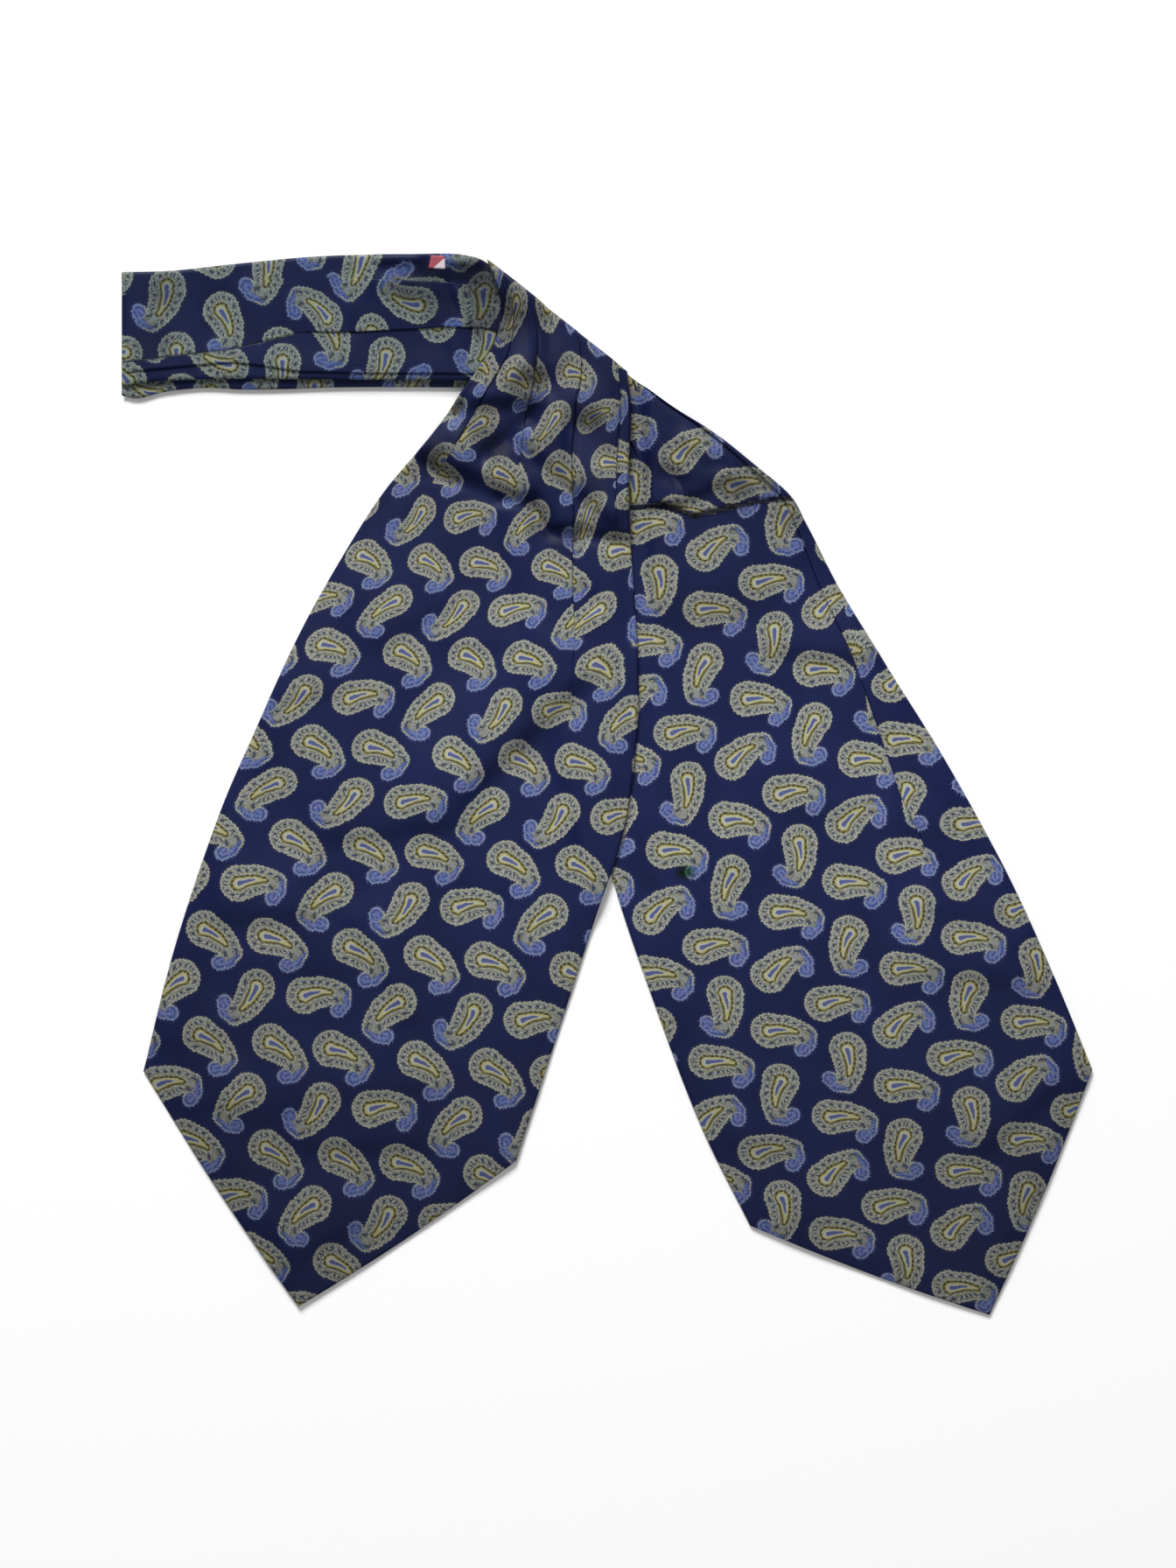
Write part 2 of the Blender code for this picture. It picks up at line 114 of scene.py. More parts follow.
def rowsDown(piece, firstProfile):
    # Even rows, with the rolled edge's own rows at both ends
    inset = [place / piece["length"] for place, _ in firstProfile]
    lastInset = [place / piece["length"] for place, _ in edgeProfile]
    even = np.linspace(max(inset), 1.0 - max(lastInset), piece["rows"])
    down = np.concatenate([inset, even[1:-1], 1.0 - np.array(lastInset[::-1])])
    rise = np.concatenate([[up for _, up in firstProfile], np.ones(len(even) - 2),
                           [up for _, up in edgeProfile[::-1]]])
    return down, rise


def columnsAcross(piece, down, width):
    # Share of the width at each grid point: even columns in each panel and a folded profile at each
    # pleat. Also the flat share below, the part of a pleat's rise that each column carries, the
    # number of pleats passed, and the roll at the two sides.
    pleats = piece.get("pleats", ())
    place = [0.0 * width, *[pleatShare(pleat, down) * width for pleat in pleats], width]
    room = np.min([foldShare * (b - a) / foldReach for a, b in zip(place, place[1:])], axis=0)
    room = np.minimum(1.0, room)
    rolled = edgeProfile[-1][0]
    margin = [rolled, *[foldReach * room if pleat["side"] else 0.0 for pleat in pleats], rolled]
    shares, flats, carried, panels, edge = [], [], [], [], []
    passed = 0

    def column(at, flat, roll=1.0, part=("", 0.0)):
        shares.append(at / width)
        flats.append(flat / width)
        carried.append(part)
        panels.append(passed)
        edge.append(roll)

    for inset, up in edgeProfile:
        column(place[0] + inset, place[0] + inset, up)
    for index, count in enumerate(piece["spans"]):
        start = place[index] + margin[index]
        there = place[index + 1]
        end = there - margin[index + 1]
        for step in range(1, count):
            at = start + (end - start) * step / count
            column(at, at)
        if index == len(pleats):
            break
        pleat = pleats[index]
        if pleat["side"] == 0:
            column(there, there)
            continue
        strength = pleatStrength(pleat, down) * smoothStep((down - pleatRun["topFrom"]) / pleatRun["topOver"])
        strength = strength * smoothStep((pleatRun["lowFrom"] - down) / pleatRun["lowOver"])
        strength = strength * smoothStep(pleatStrength(pleat, down) / pleatRun["full"])
        profile = foldProfile if pleat["side"] < 0 else foldProfile[::-1] * np.array([-1.0, -1.0, 1.0])
        turn = foldTurn if pleat["side"] < 0 else len(foldProfile) - 2 - foldTurn
        for order, (flat, folded, part) in enumerate(profile):
            flatAt = there + flat * room
            column(flatAt + (folded - flat) * room * strength, flatAt, part=(pleat["name"], part))
            if order == turn:
                passed += 1
    for inset, up in edgeProfile[::-1]:
        column(place[-1] - inset, place[-1] - inset, up)
    return np.stack(shares, axis=1), np.stack(flats, axis=1), carried, np.array(panels), np.array(edge)


def stripPlan(piece, down, share, edges):
    # A point is the left edge plus its share of the way to the right edge. Towards the tip, rows bend
    # into arrowheads whose middle falls to the point.
    width = np.hypot(edges["rightX"] - edges["leftX"], edges["rightY"] - edges["leftY"])
    x = edges["leftX"][:, None] + (edges["rightX"] - edges["leftX"])[:, None] * share
    y = edges["leftY"][:, None] + (edges["rightY"] - edges["leftY"])[:, None] * share
    if "tip" in piece:
        last = piece["sections"][-1]
        reach = np.clip((down - piece["tipStarts"]) / (1.0 - piece["tipStarts"]), 0.0, 1.0)[:, None]
        fall = 1.0 - np.abs(2.0 * share - 1.0)
        fall = fall + tipFullness * np.sin(np.pi * np.clip(fall, 0.0, 1.0))
        x = x + reach * fall * (piece["tip"][0] - (last["leftX"] + last["rightX"]) / 2)
        y = y + reach * fall * (piece["tip"][1] - (last["leftY"] + last["rightY"]) / 2)
    return x, y


def creaseHeight(creases, x, y):
    # Soft troughs and ridges: a bell across each crease's line, fading past its two ends
    height = np.zeros_like(x)
    for crease in creases:
        runX = crease["x1"] - crease["x0"]
        runY = crease["y1"] - crease["y0"]
        along = ((x - crease["x0"]) * runX + (y - crease["y0"]) * runY) / (runX ** 2 + runY ** 2)
        held = np.clip(along, 0.0, 1.0)
        away = np.hypot(x - crease["x0"] - held * runX, y - crease["y0"] - held * runY)
        height += crease["depth"] * np.exp(-(away / crease["halfWidth"]) ** 2)
    return height


def stepHeight(steps, x, y):
    # With t the distance to the left of a step's run: drop * smooth(t / width), times
    # exp(-((t - width) / reach)^2) past the width and exp(-(2 e / reach)^2) at e past an end
    height = np.zeros_like(x)
    for step in steps:
        runX = step["x1"] - step["x0"]
        runY = step["y1"] - step["y0"]
        length = np.hypot(runX, runY)
        along = ((x - step["x0"]) * runX + (y - step["y0"]) * runY) / length
        away = ((y - step["y0"]) * runX - (x - step["x0"]) * runY) / length
        past = np.maximum(np.maximum(-along, along - length), 0.0)
        far = np.maximum(away - step["width"], 0.0) / step["reach"]
        height += (step["drop"] * smoothStep(away / step["width"])
                   * np.exp(-far ** 2 - (2.0 * past / step["reach"]) ** 2))
    return height


def ripple(x, y):
    # Slow swell of cloth that isn't pressed dead flat: three crossed waves of different length
    return (0.35 * np.sin(x / 21.0 + y / 47.0) * np.sin(y / 33.0 - x / 90.0)
            + 0.20 * np.sin(x / 11.0 - y / 17.0 + 1.3) + 0.11 * np.sin(x / 7.3 + y / 9.1 + 0.4))


def throatBulge(piece, x, y):
    # The gathers lie higher than the flat cloth: a smooth step up the table from the foot line
    foot = piece["foot"]
    start = np.interp(x, foot["x"], foot["y"])
    return piece["throatRise"] * smoothStep((y - start) / np.interp(x, foot["x"], foot["length"]))


def plump(grid):
    # The pressed edges are thinner than the cloth between them: a smooth step in from the edge
    return wall["bladeRise"] * smoothStep(grid["inset"] / wall["riseReach"])


def softFloor(height):
    # Never below the least wall: least + (h + sqrt(h^2 + 0.1)) / 2, where h is what lies above it
    above = height - wall["least"]
    return wall["least"] + (above + np.sqrt(above ** 2 + 0.1)) / 2


def clothPlace(piece, x, y, down, share, panel):
    # Where a point lies in the cloth as it was cut, in the print's two directions. A pin's pull is
    # its weight exp(-(d / reach)^2) over the sum of all weights and the rest.
    moveX = np.zeros_like(x)
    moveY = np.zeros_like(y)
    weights = np.full_like(x, pinPull["rest"])
    for pin in piece.get("pins", ()):
        far = ((x - pin["x"]) ** 2 + (y - pin["y"]) ** 2) / pinPull["reach"] ** 2
        weight = np.exp(-far) * (panel == pin["panel"])
        weights += weight
        turn = math.radians(pin["turn"])
        awayX, awayY = x - pin["x"], y - pin["y"]
        moveX += weight * (pin["moveX"] + awayX * (1 - math.cos(turn)) - awayY * math.sin(turn))
        moveY += weight * (pin["moveY"] + awayY * (1 - math.cos(turn)) + awayX * math.sin(turn))
    moveX /= weights
    moveY /= weights
    for skip in piece.get("skips", ()):
        above = y > np.interp(x, skip["line"]["x"], skip["line"]["y"])
        moveX += skip["move"][0] * above
        moveY += skip["move"][1] * above
    for order, panelX, panelY in piece.get("panelMoves", ()):
        moveX += panelX * (panel == order)
        moveY += panelY * (panel == order)
    chart = piece["chart"]
    angle = math.radians(chart["turn"])
    px = x - moveX - chart["x"]
    py = y - moveY - chart["y"]
    along = (px * math.cos(angle) + py * math.sin(angle)) / chart.get("along", 1.0)
    across = (py * math.cos(angle) - px * math.sin(angle)) / chart.get("across", 1.0)
    if "drift" in piece:
        drift = {key: curveAt(piece["drift"]["down"], piece["drift"][key], down)[:, None]
                 for key in driftType.names[1:]}
        along += drift["leftAlong"] + (drift["rightAlong"] - drift["leftAlong"]) * share
        across += drift["leftAcross"] + (drift["rightAcross"] - drift["leftAcross"]) * share
    return along, across


def clothGrid(piece, firstProfile=edgeProfile):
    # Everything that the heights need: plan, cloth coordinates, roll at the edges and pleats' rises
    down, endRoll = rowsDown(piece, firstProfile)
    sections = piece["sections"]
    edges = {key: curveAt(sections["down"], sections[key], down) for key in sectionType.names[1:]}
    width = np.hypot(edges["rightX"] - edges["leftX"], edges["rightY"] - edges["leftY"])
    share, flatShare, carried, panel, sideRoll = columnsAcross(piece, down, width)
    x, y = stripPlan(piece, down, share, edges)
    flatX, flatY = stripPlan(piece, down, flatShare, edges)
    rise = np.zeros_like(x)
    for order, pleat in enumerate(pleat for pleat in piece.get("pleats", ()) if pleat["side"]):
        away = (share - pleatShare(pleat, down)[:, None]) * width[:, None] * pleat["side"]
        onTop = np.exp(-(np.maximum(away, 0.0) / pleat["reach"]) ** 2)
        isTop = (panel > order) if pleat["side"] > 0 else (panel <= order)
        factor = np.where(isTop[None, :], onTop, 0.0)
        for index, (name, part) in enumerate(carried):
            if name == pleat["name"]:
                factor[:, index] = part
        rise += pleat["rise"] * pleatStrength(pleat, down)[:, None] * factor
    along, across = clothPlace(piece, x, y, down, share, panel)
    roll = endRoll[:, None] * sideRoll[None, :]
    inset = np.minimum(share, 1.0 - share) * width[:, None]
    inset = np.minimum(inset, (1.0 - down)[:, None] * piece["length"])
    return {"x": x, "y": y, "flatX": flatX, "flatY": flatY, "rise": rise, "roll": roll, "along": along,
            "across": across, "down": down, "inset": inset}


def wallMesh(name, grid, under, over, material):
    # Closed wall from an upper and a lower grid that share the outline's ring of points
    rows, columns = grid["x"].shape
    number = np.arange(rows * columns).reshape(rows, columns)
    inner = np.zeros((rows, columns), bool)
    inner[1:-1, 1:-1] = True
    topPoints = np.stack([grid["x"], grid["y"], np.where(inner, over, (under + over) / 2)], axis=-1)
    lowPoints = np.stack([grid["flatX"], grid["flatY"], under], axis=-1)[inner]
    lowNumber = number.copy()
    lowNumber[inner] = rows * columns + np.arange(len(lowPoints))
    top = np.stack([number[:-1, :-1], number[1:, :-1], number[1:, 1:], number[:-1, 1:]], axis=-1)
    low = np.stack([lowNumber[:-1, :-1], lowNumber[:-1, 1:], lowNumber[1:, 1:], lowNumber[1:, :-1]], axis=-1)
    points = np.concatenate([topPoints.reshape(-1, 3), lowPoints]) * mm
    faces = np.concatenate([top.reshape(-1, 4), low.reshape(-1, 4)])
    mesh = bpy.data.meshes.new(name)
    mesh.from_pydata(points.tolist(), [], faces.tolist())
    place = np.stack([grid["along"], grid["across"]], axis=-1)
    clothUv = np.concatenate([place.reshape(-1, 2), place[inner]]) / uvScale
    layer = mesh.uv_layers.new(name="cloth")
    layer.data.foreach_set("uv", clothUv[faces.reshape(-1)].reshape(-1).astype(np.float32))
    mesh.shade_smooth()
    mesh.materials.append(material)
    piece = bpy.data.objects.new(name, mesh)
    bpy.context.collection.objects.link(piece)
    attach(piece, "root")
    print("made", name, len(points), "points")
    return piece


class Plug:
    # A shader socket that can stand in a sum: each operator adds one Math node
    def __init__(self, board, socket):
        self.board = board
        self.socket = socket

    def calc(self, operation, first, second=0.0, third=0.0, clamp=False):
        settings = {"operation": operation, "use_clamp": clamp}
        return self.board.add("ShaderNodeMath", settings, {0: first, 1: second, 2: third})

    def __add__(self, other):
        return self.calc("ADD", self, other)

    def __radd__(self, other):
        return self.calc("ADD", other, self)

    def __sub__(self, other):
        return self.calc("SUBTRACT", self, other)

    def __rsub__(self, other):
        return self.calc("SUBTRACT", other, self)

    def __mul__(self, other):
        return self.calc("MULTIPLY", self, other)

    def __rmul__(self, other):
        return self.calc("MULTIPLY", other, self)

    def __lt__(self, other):
        return self.calc("LESS_THAN", self, other)


class Board:
    # A material's node tree
    def __init__(self, name):
        self.material = bpy.data.materials.new(name)
        self.material.use_nodes = True
        self.tree = self.material.node_tree
        self.shader = self.tree.nodes["Principled BSDF"]

    def add(self, kind, settings, inputs, output=0):
        node = self.tree.nodes.new(kind)
        for key, value in settings.items():
            setattr(node, key, value)
        for key, value in inputs.items():
            self.feed(node.inputs[key], value)
        return Plug(self, node.outputs[output])

    def feed(self, socket, value):
        if isinstance(value, Plug):
            self.tree.links.new(value.socket, socket)
        elif isinstance(value, tuple) and socket.type == "RGBA":
            socket.default_value = (*value, 1.0)
        else:
            socket.default_value = value

    def surface(self, inputs):
        # The finished material, with these values or links on its shader's sockets
        for key, value in inputs.items():
            self.feed(self.shader.inputs[key], value)
        return self.material

    def vector(self, operation, first, second=(0.0, 0.0, 0.0), third=(0.0, 0.0, 0.0), output=0):
        inputs = {0: first, 1: second, 2: third}
        return self.add("ShaderNodeVectorMath", {"operation": operation}, inputs, output)

    def part(self, vector, index):
        # x, y or z of a vector
        return self.add("ShaderNodeSeparateXYZ", {}, {0: vector}, index)

    def stretch(self, value, low, high, toLow=0.0, toHigh=1.0):
        # toLow at low, toHigh at high, smooth between and level outside
        return self.add("ShaderNodeMapRange", {"interpolation_type": "SMOOTHSTEP"},
                        {0: value, 1: low, 2: high, 3: toLow, 4: toHigh})

    def mixColor(self, factor, first, second):
        return self.add("ShaderNodeMix", {"data_type": "RGBA"}, {0: factor, 6: first, 7: second}, 2)

    def noise(self, place, scale, detail, output=0):
        return self.add("ShaderNodeTexNoise", {}, {"Vector": place, "Scale": scale, "Detail": detail}, output)

    def band(self, value, low, high, soft):
        # 1 between low and high, 0 outside
        rising = self.stretch(value, low - soft, low + soft)
        return rising * self.stretch(value, high - soft, high + soft, 1.0, 0.0)


# The print: a repeat of six pine motifs. Along and across are its two straight directions in the cloth.
silkPrint = {
    "repeat": (54.9, 74.2),
    # place in the repeat, angle of the motif's long axis, and -1 where the curl turns the other way
    "motifs": ((0.0, 0.0, 29.6, 1), (27.3, 3.9, 59.1, 1), (22.5, 27.3, 16.1, 1), (47.9, 23.6, -72.9, -1),
               (13.8, 49.5, -73.4, 1), (40.3, 51.8, 16.1, 1)),
    "reach": (14.6, 9.2), "middle": (-0.6, -1.2),  # ellipse that tells which motif is nearest
    # chain of discs that shapes the body from its head to its curl: x, y, radius
    "body": ((-7.0, -0.65, 7.75), (0.0, 0.9, 6.4), (4.5, 1.2, 5.0), (8.2, 0.2, 4.3), (8.9, -3.4, 3.7),
             (7.3, -6.6, 3.3)),
    # the drop in the head, along an arc that its own x and y follow
    "drop": ((-7.0, 0.0, 2.3), (4.0, 0.0, 0.42)), "heart": ((-6.6, 0.0, 0.95), (-0.6, 0.0, 0.32)),
    "dropArc": (1.5, 1.05, 0.029), "dropHead": -6.5,
    # pale streak in the neck, and the disc of the curl's lobe
    "streak": ((6.6, 0.6, 0.7), (9.2, -0.9, 0.6)), "lobe": (7.2, -6.8, 2.7),
    # waves round the motif: scallops of the outline, beads, dashes beside and round the drop
    "petals": 38, "beads": 18, "paleDashes": 24, "dropDashes": 16,
    # rings by depth in from the outline (outline, cells, beads) and by distance out from the drop:
    # from, to, softness
    "outline": (0.0, 0.75, 0.16), "cellRing": (0.7, 1.45, 0.2), "beadRing": (1.7, 2.75, 0.22),
    "dropRing": (-0.1, 1.05, 0.18), "paleRing": (1.15, 1.85, 0.2),
    "wobble": (0.35, 0.9), "joint": 1.2,  # how the drawing wavers, and how softly its discs join
    "ground": (0.0056, 0.0092, 0.0470), "groundLight": (0.0076, 0.0120, 0.0570),
    "cream": (0.305, 0.315, 0.265), "khaki": (0.135, 0.135, 0.074), "pale": (0.205, 0.212, 0.212),
    "bead": (0.037, 0.047, 0.072), "mauve": (0.205, 0.185, 0.185), "olive": (0.050, 0.048, 0.020),
    "ochre": (0.16, 0.14, 0.046), "yellow": (0.33, 0.315, 0.16), "white": (0.34, 0.355, 0.34),
    "core": (0.070, 0.085, 0.20), "curl": (0.095, 0.126, 0.30), "curlPale": (0.175, 0.205, 0.29),
    "curlDark": (0.045, 0.062, 0.185),
    # twill: ribs along and across, grain of the yarn, bump's strength and metres, roughness, gloss
    "ribs": (9.0, 1.5), "yarn": 2.4, "bump": (0.25, 0.00012), "roughness": (0.42, 0.52), "gloss": 0.12,
}


def taperedRun(board, place, first, second):
    # Distance to a run whose radius goes evenly from the first disc's to the second's
    (ax, ay, ar), (bx, by, br) = first, second
    run = (bx - ax, by - ay, 0.0)
    fromFirst = board.vector("SUBTRACT", place, (ax, ay, 0.0))
    dot = board.vector("DOT_PRODUCT", fromFirst, run, output="Value")
    along = dot.calc("MULTIPLY", dot, 1.0 / (run[0] ** 2 + run[1] ** 2), clamp=True)
    nearest = board.vector("MULTIPLY", board.add("ShaderNodeCombineXYZ", {}, {0: along, 1: along}), run)
    away = board.vector("DISTANCE", fromFirst, nearest, output="Value")
    return away - (along * (br - ar) + ar)


def nearestMotif(board, drawn):
    # Place in the nearest motif of the repeat, in its own axes: x runs from its head to its curl
    half = (*[side / 2 for side in silkPrint["repeat"]], 1.0)
    reach = (*[1.0 / axis for axis in silkPrint["reach"]], 0.0)
    place, nearest = None, None
    for along, across, turn, mirrored in silkPrint["motifs"]:
        shifted = board.vector("SUBTRACT", drawn, (along, across, 0.0))
        wrapped = board.vector("WRAP", shifted, half, tuple(-value for value in half))
        turned = board.add("ShaderNodeVectorRotate", {"rotation_type": "Z_AXIS"},
                           {"Vector": wrapped, "Angle": -math.radians(turn)})
        if mirrored < 0:
            turned = board.vector("MULTIPLY", turned, (1.0, -1.0, 1.0))
        centred = board.vector("SUBTRACT", turned, (*silkPrint["middle"], 0.0))
        metric = board.vector("LENGTH", board.vector("MULTIPLY", centred, reach), output="Value")
        if place is None:
            place, nearest = turned, metric
        else:
            closer = {0: metric < nearest, 4: place, 5: turned}
            place = board.add("ShaderNodeMix", {"data_type": "VECTOR"}, closer, 1)
            nearest = metric.calc("MINIMUM", metric, nearest)
    return place


def shadedSilk(board, color, piece):
    # Painted shade in the folds, painted shadow lines and real stains, placed on the table, each fading round
    # its stroke. Then painted light and shade that change slowly across the cloth: lighter in the middle,
    # darker in its gathers, at its points and far sides
    spot = board.add("ShaderNodeTexCoord", {}, {}, "Object")
    table = board.vector("MULTIPLY", spot, (1.0 / mm, 1.0 / mm, 0.0))
    # painted shade, painted shadow lines and stains: the colour times a stroke's tint, fading out from its
    # line
    for x0, y0, x1, y1, radius, *tint in piece["paintedShadeAndStains"]:
        away = taperedRun(board, table, (x0, y0, 0.0), (x1, y1, 0.0))
        held = board.stretch(away, 0.2 * radius, 1.6 * radius, 1.0, 0.0)
        color = board.mixColor(held, color, board.vector("MULTIPLY", color, tuple(tint)))
    # painted light and shade: the colour scaled up or down along x or y
    for direction, start, end, toStart, toEnd in piece["fades"]:
        strength = board.stretch(board.part(spot, direction), start, end, toStart, toEnd)
        color = board.add("ShaderNodeVectorMath", {"operation": "SCALE"}, {0: color, 3: strength})
    return board.vector("MULTIPLY", color, piece["tint"])


def twillWeave(board, cloth, groundTone):
    # Diagonal ribs and a little unevenness of the yarn
    ribsAlong, ribsAcross = silkPrint["ribs"]
    ribPhase = board.part(cloth, 0) * ribsAlong + board.part(cloth, 1) * ribsAcross
    ribs = ribPhase.calc("SINE", ribPhase)
    height = ribs * 0.5 + board.noise(cloth, silkPrint["yarn"], 1.0)
    strength, distance = silkPrint["bump"]
    bump = board.add("ShaderNodeBump", {}, {"Strength": strength, "Distance": distance, "Height": height})
    roughness = board.stretch(groundTone, 0.3, 0.7, *silkPrint["roughness"])
    return {"Normal": bump, "Roughness": roughness, "Specular IOR Level": silkPrint["gloss"]}


def printedSilk(name, piece):
    # Navy twill printed with pine motifs, whose rings are coloured by their depth in from the outline
    # and by the distance from the drop in the head
    look = silkPrint
    board = Board(name)
    mix, stretch, noise, band = board.mixColor, board.stretch, board.noise, board.band
    uv = board.add("ShaderNodeUVMap", {"uv_map": "cloth"}, {})
    cloth = board.vector("MULTIPLY", uv, (uvScale, uvScale, 0.0))
    wobbleScale, wobble = look["wobble"]
    wobbleNoise = noise(cloth, wobbleScale, 1.0, "Color")
    drawn = board.vector("MULTIPLY_ADD", board.vector("SUBTRACT", wobbleNoise, (0.5, 0.5, 0.5)),
                         (wobble, wobble, 0.0), cloth)
    place = nearestMotif(board, drawn)
    x, y = board.part(place, 0), board.part(place, 1)
    body = None
    for first, second in zip(look["body"], look["body"][1:]):
        distance = taperedRun(board, place, first, second)
        body = distance if body is None else body.calc("SMOOTH_MIN", body, distance, look["joint"])
    arcX, arcY, arcBend = look["dropArc"]
    along = x.calc("MAXIMUM", x, look["dropHead"]) - arcX
    bent = y + along * along * arcBend - arcY
    dropPlace = board.add("ShaderNodeCombineXYZ", {}, {0: x, 1: bent})
    drop = taperedRun(board, dropPlace, *look["drop"])
    heart = taperedRun(board, dropPlace, *look["heart"])
    turn = x.calc("ARCTAN2", (y + 0.4) * 1.7, x + 2.0)
    fine = noise(cloth, 1.0, 1.0)
    grain = noise(cloth, 1.9, 1.0)
    depth = (fine - 0.5) * 0.5 - body

    def waves(count, phase=0.0):
        # wave round the motif, so many to a turn
        return turn.calc("SINE", turn * count + phase)

    lobeX, lobeY, lobeRadius = look["lobe"]
    inLobe = board.vector("DISTANCE", place, (lobeX, lobeY, 0.0), output="Value")
    lobe = stretch(inLobe + (fine - 0.5) * 0.8, lobeRadius - 0.25, lobeRadius + 0.25, 1.0, 0.0)
    curlArea = stretch(x - y * 0.35 + (fine - 0.5) * 1.5, 9.5, 10.9)
    curlArea = curlArea.calc("MAXIMUM", curlArea, lobe)
    groundTone = noise(cloth, 0.03, 2.0)
    color = mix(stretch(groundTone, 0.35, 0.65), look["ground"], look["groundLight"])
    # short hairs outside the outline, longest round the tail
    tail = stretch(x - y * 0.5, 3.0, 10.0)
    hairs = stretch(waves(look["petals"] * 1.5) + (grain - 0.5) * 1.6, 0.45, 1.0)
    hairs = hairs * stretch(body, 0.35, 1.1, 1.0, 0.0)
    hairColor = mix(tail, look["khaki"], look["curl"])
    color = mix(hairs * (tail * 0.35 + 0.25), color, hairColor)
    # inside: a mottled filling with a pale line next to the drop's dashes, a ring of beads further
    # out and small cells next to the outline
    inside = stretch(depth, 0.1, 0.4)
    mottled = mix(stretch(grain, 0.42, 0.58), look["pale"], look["cream"])
    mottled = mix(stretch(fine, 0.55, 0.7) * 0.7, mottled, look["mauve"])
    crumbs = noise(cloth, 0.85, 1.0)
    specks = noise(cloth, 1.45, 1.0)
    filling = mix(stretch(crumbs, 0.38, 0.56), look["khaki"], mottled)
    filling = mix(stretch(crumbs, 0.52, 0.66), filling, look["bead"])
    paleDashes = stretch(waves(look["paleDashes"], 0.5) + (specks - 0.5) * 3.0, -0.7, 0.3)
    filling = mix(band(drop, *look["paleRing"]) * paleDashes, filling, look["cream"])
    tailBand = stretch(x - y * 0.6, 4.5, 8.0)
    beads = waves(look["beads"], stretch(y, -2.0, 0.0, 1.3, -1.8)) + (grain - 0.5) * 2.2 - tailBand * 1.5
    beadColor = mix(stretch(beads, -0.35, 0.45), look["bead"], mottled)
    filling = mix(band(depth, *look["beadRing"]), filling, beadColor)
    cellColor = mix(stretch(specks, 0.40, 0.52), look["bead"], mottled)
    filling = mix(band(depth, *look["cellRing"]), filling, cellColor)
    streak = taperedRun(board, place, *look["streak"])
    filling = mix(stretch(streak, -0.2, 0.3, 0.85, 0.0), filling, look["pale"])
    color = mix(inside, color, filling)
    # strokes that run round into the curl
    strokes = stretch(depth.calc("SINE", depth * 2.75 + grain * 2.4), -0.4, 0.6)
    strokes = mix(strokes, look["curlDark"], look["curl"])
    strokes = mix(stretch(fine, 0.56, 0.66) * 0.8, strokes, look["curlPale"])
    color = mix(inside * curlArea, color, strokes)
    # olive ring of dashes round the drop
    dashes = stretch(waves(look["dropDashes"], 0.8) + (grain - 0.5) * 1.6, 0.0, 0.8)
    dashColor = mix(dashes, look["olive"], look["ochre"])
    color = mix(band(drop, *look["dropRing"]) * (1.0 - curlArea), color, dashColor)
    # outer line in small scallops
    scallops = depth + waves(look["petals"]) * 0.2
    outerColor = mix(stretch(grain, 0.3, 0.55), look["khaki"], look["cream"])
    curlLine = mix(stretch(grain, 0.35, 0.6), look["curl"], look["curlPale"])
    outerColor = mix(stretch(x * 0.5 - y, 6.5, 9.5), outerColor, curlLine)
    color = mix(band(scallops, *look["outline"]), color, outerColor)
    # the outer line runs on between the body and the lobe
    overLobe = band(inLobe, lobeRadius + 0.1, lobeRadius + 0.8, 0.2) * stretch(y + x * 0.3, -5.2, -3.6)
    color = mix(overLobe * inside * 0.7, color, outerColor)
    # drop: yellow line, white line, blue core, and yellow all through at its two ends
    color = mix(stretch(drop, -0.1, 0.15, 1.0, 0.0), color, look["yellow"])
    ends = stretch(x, 0.2, 2.2, 1.0, 0.0) * stretch(x, -9.2, -8.0)
    color = mix(stretch(drop, -0.8, -0.5, 0.85, 0.0) * ends, color, look["white"])
    color = mix(stretch(heart + (fine - 0.5) * 0.5, -0.05, 0.2, 1.0, 0.0), color, look["core"])
    weave = twillWeave(board, cloth, groundTone)
    return board.surface({"Base Color": shadedSilk(board, color, piece), **weave})


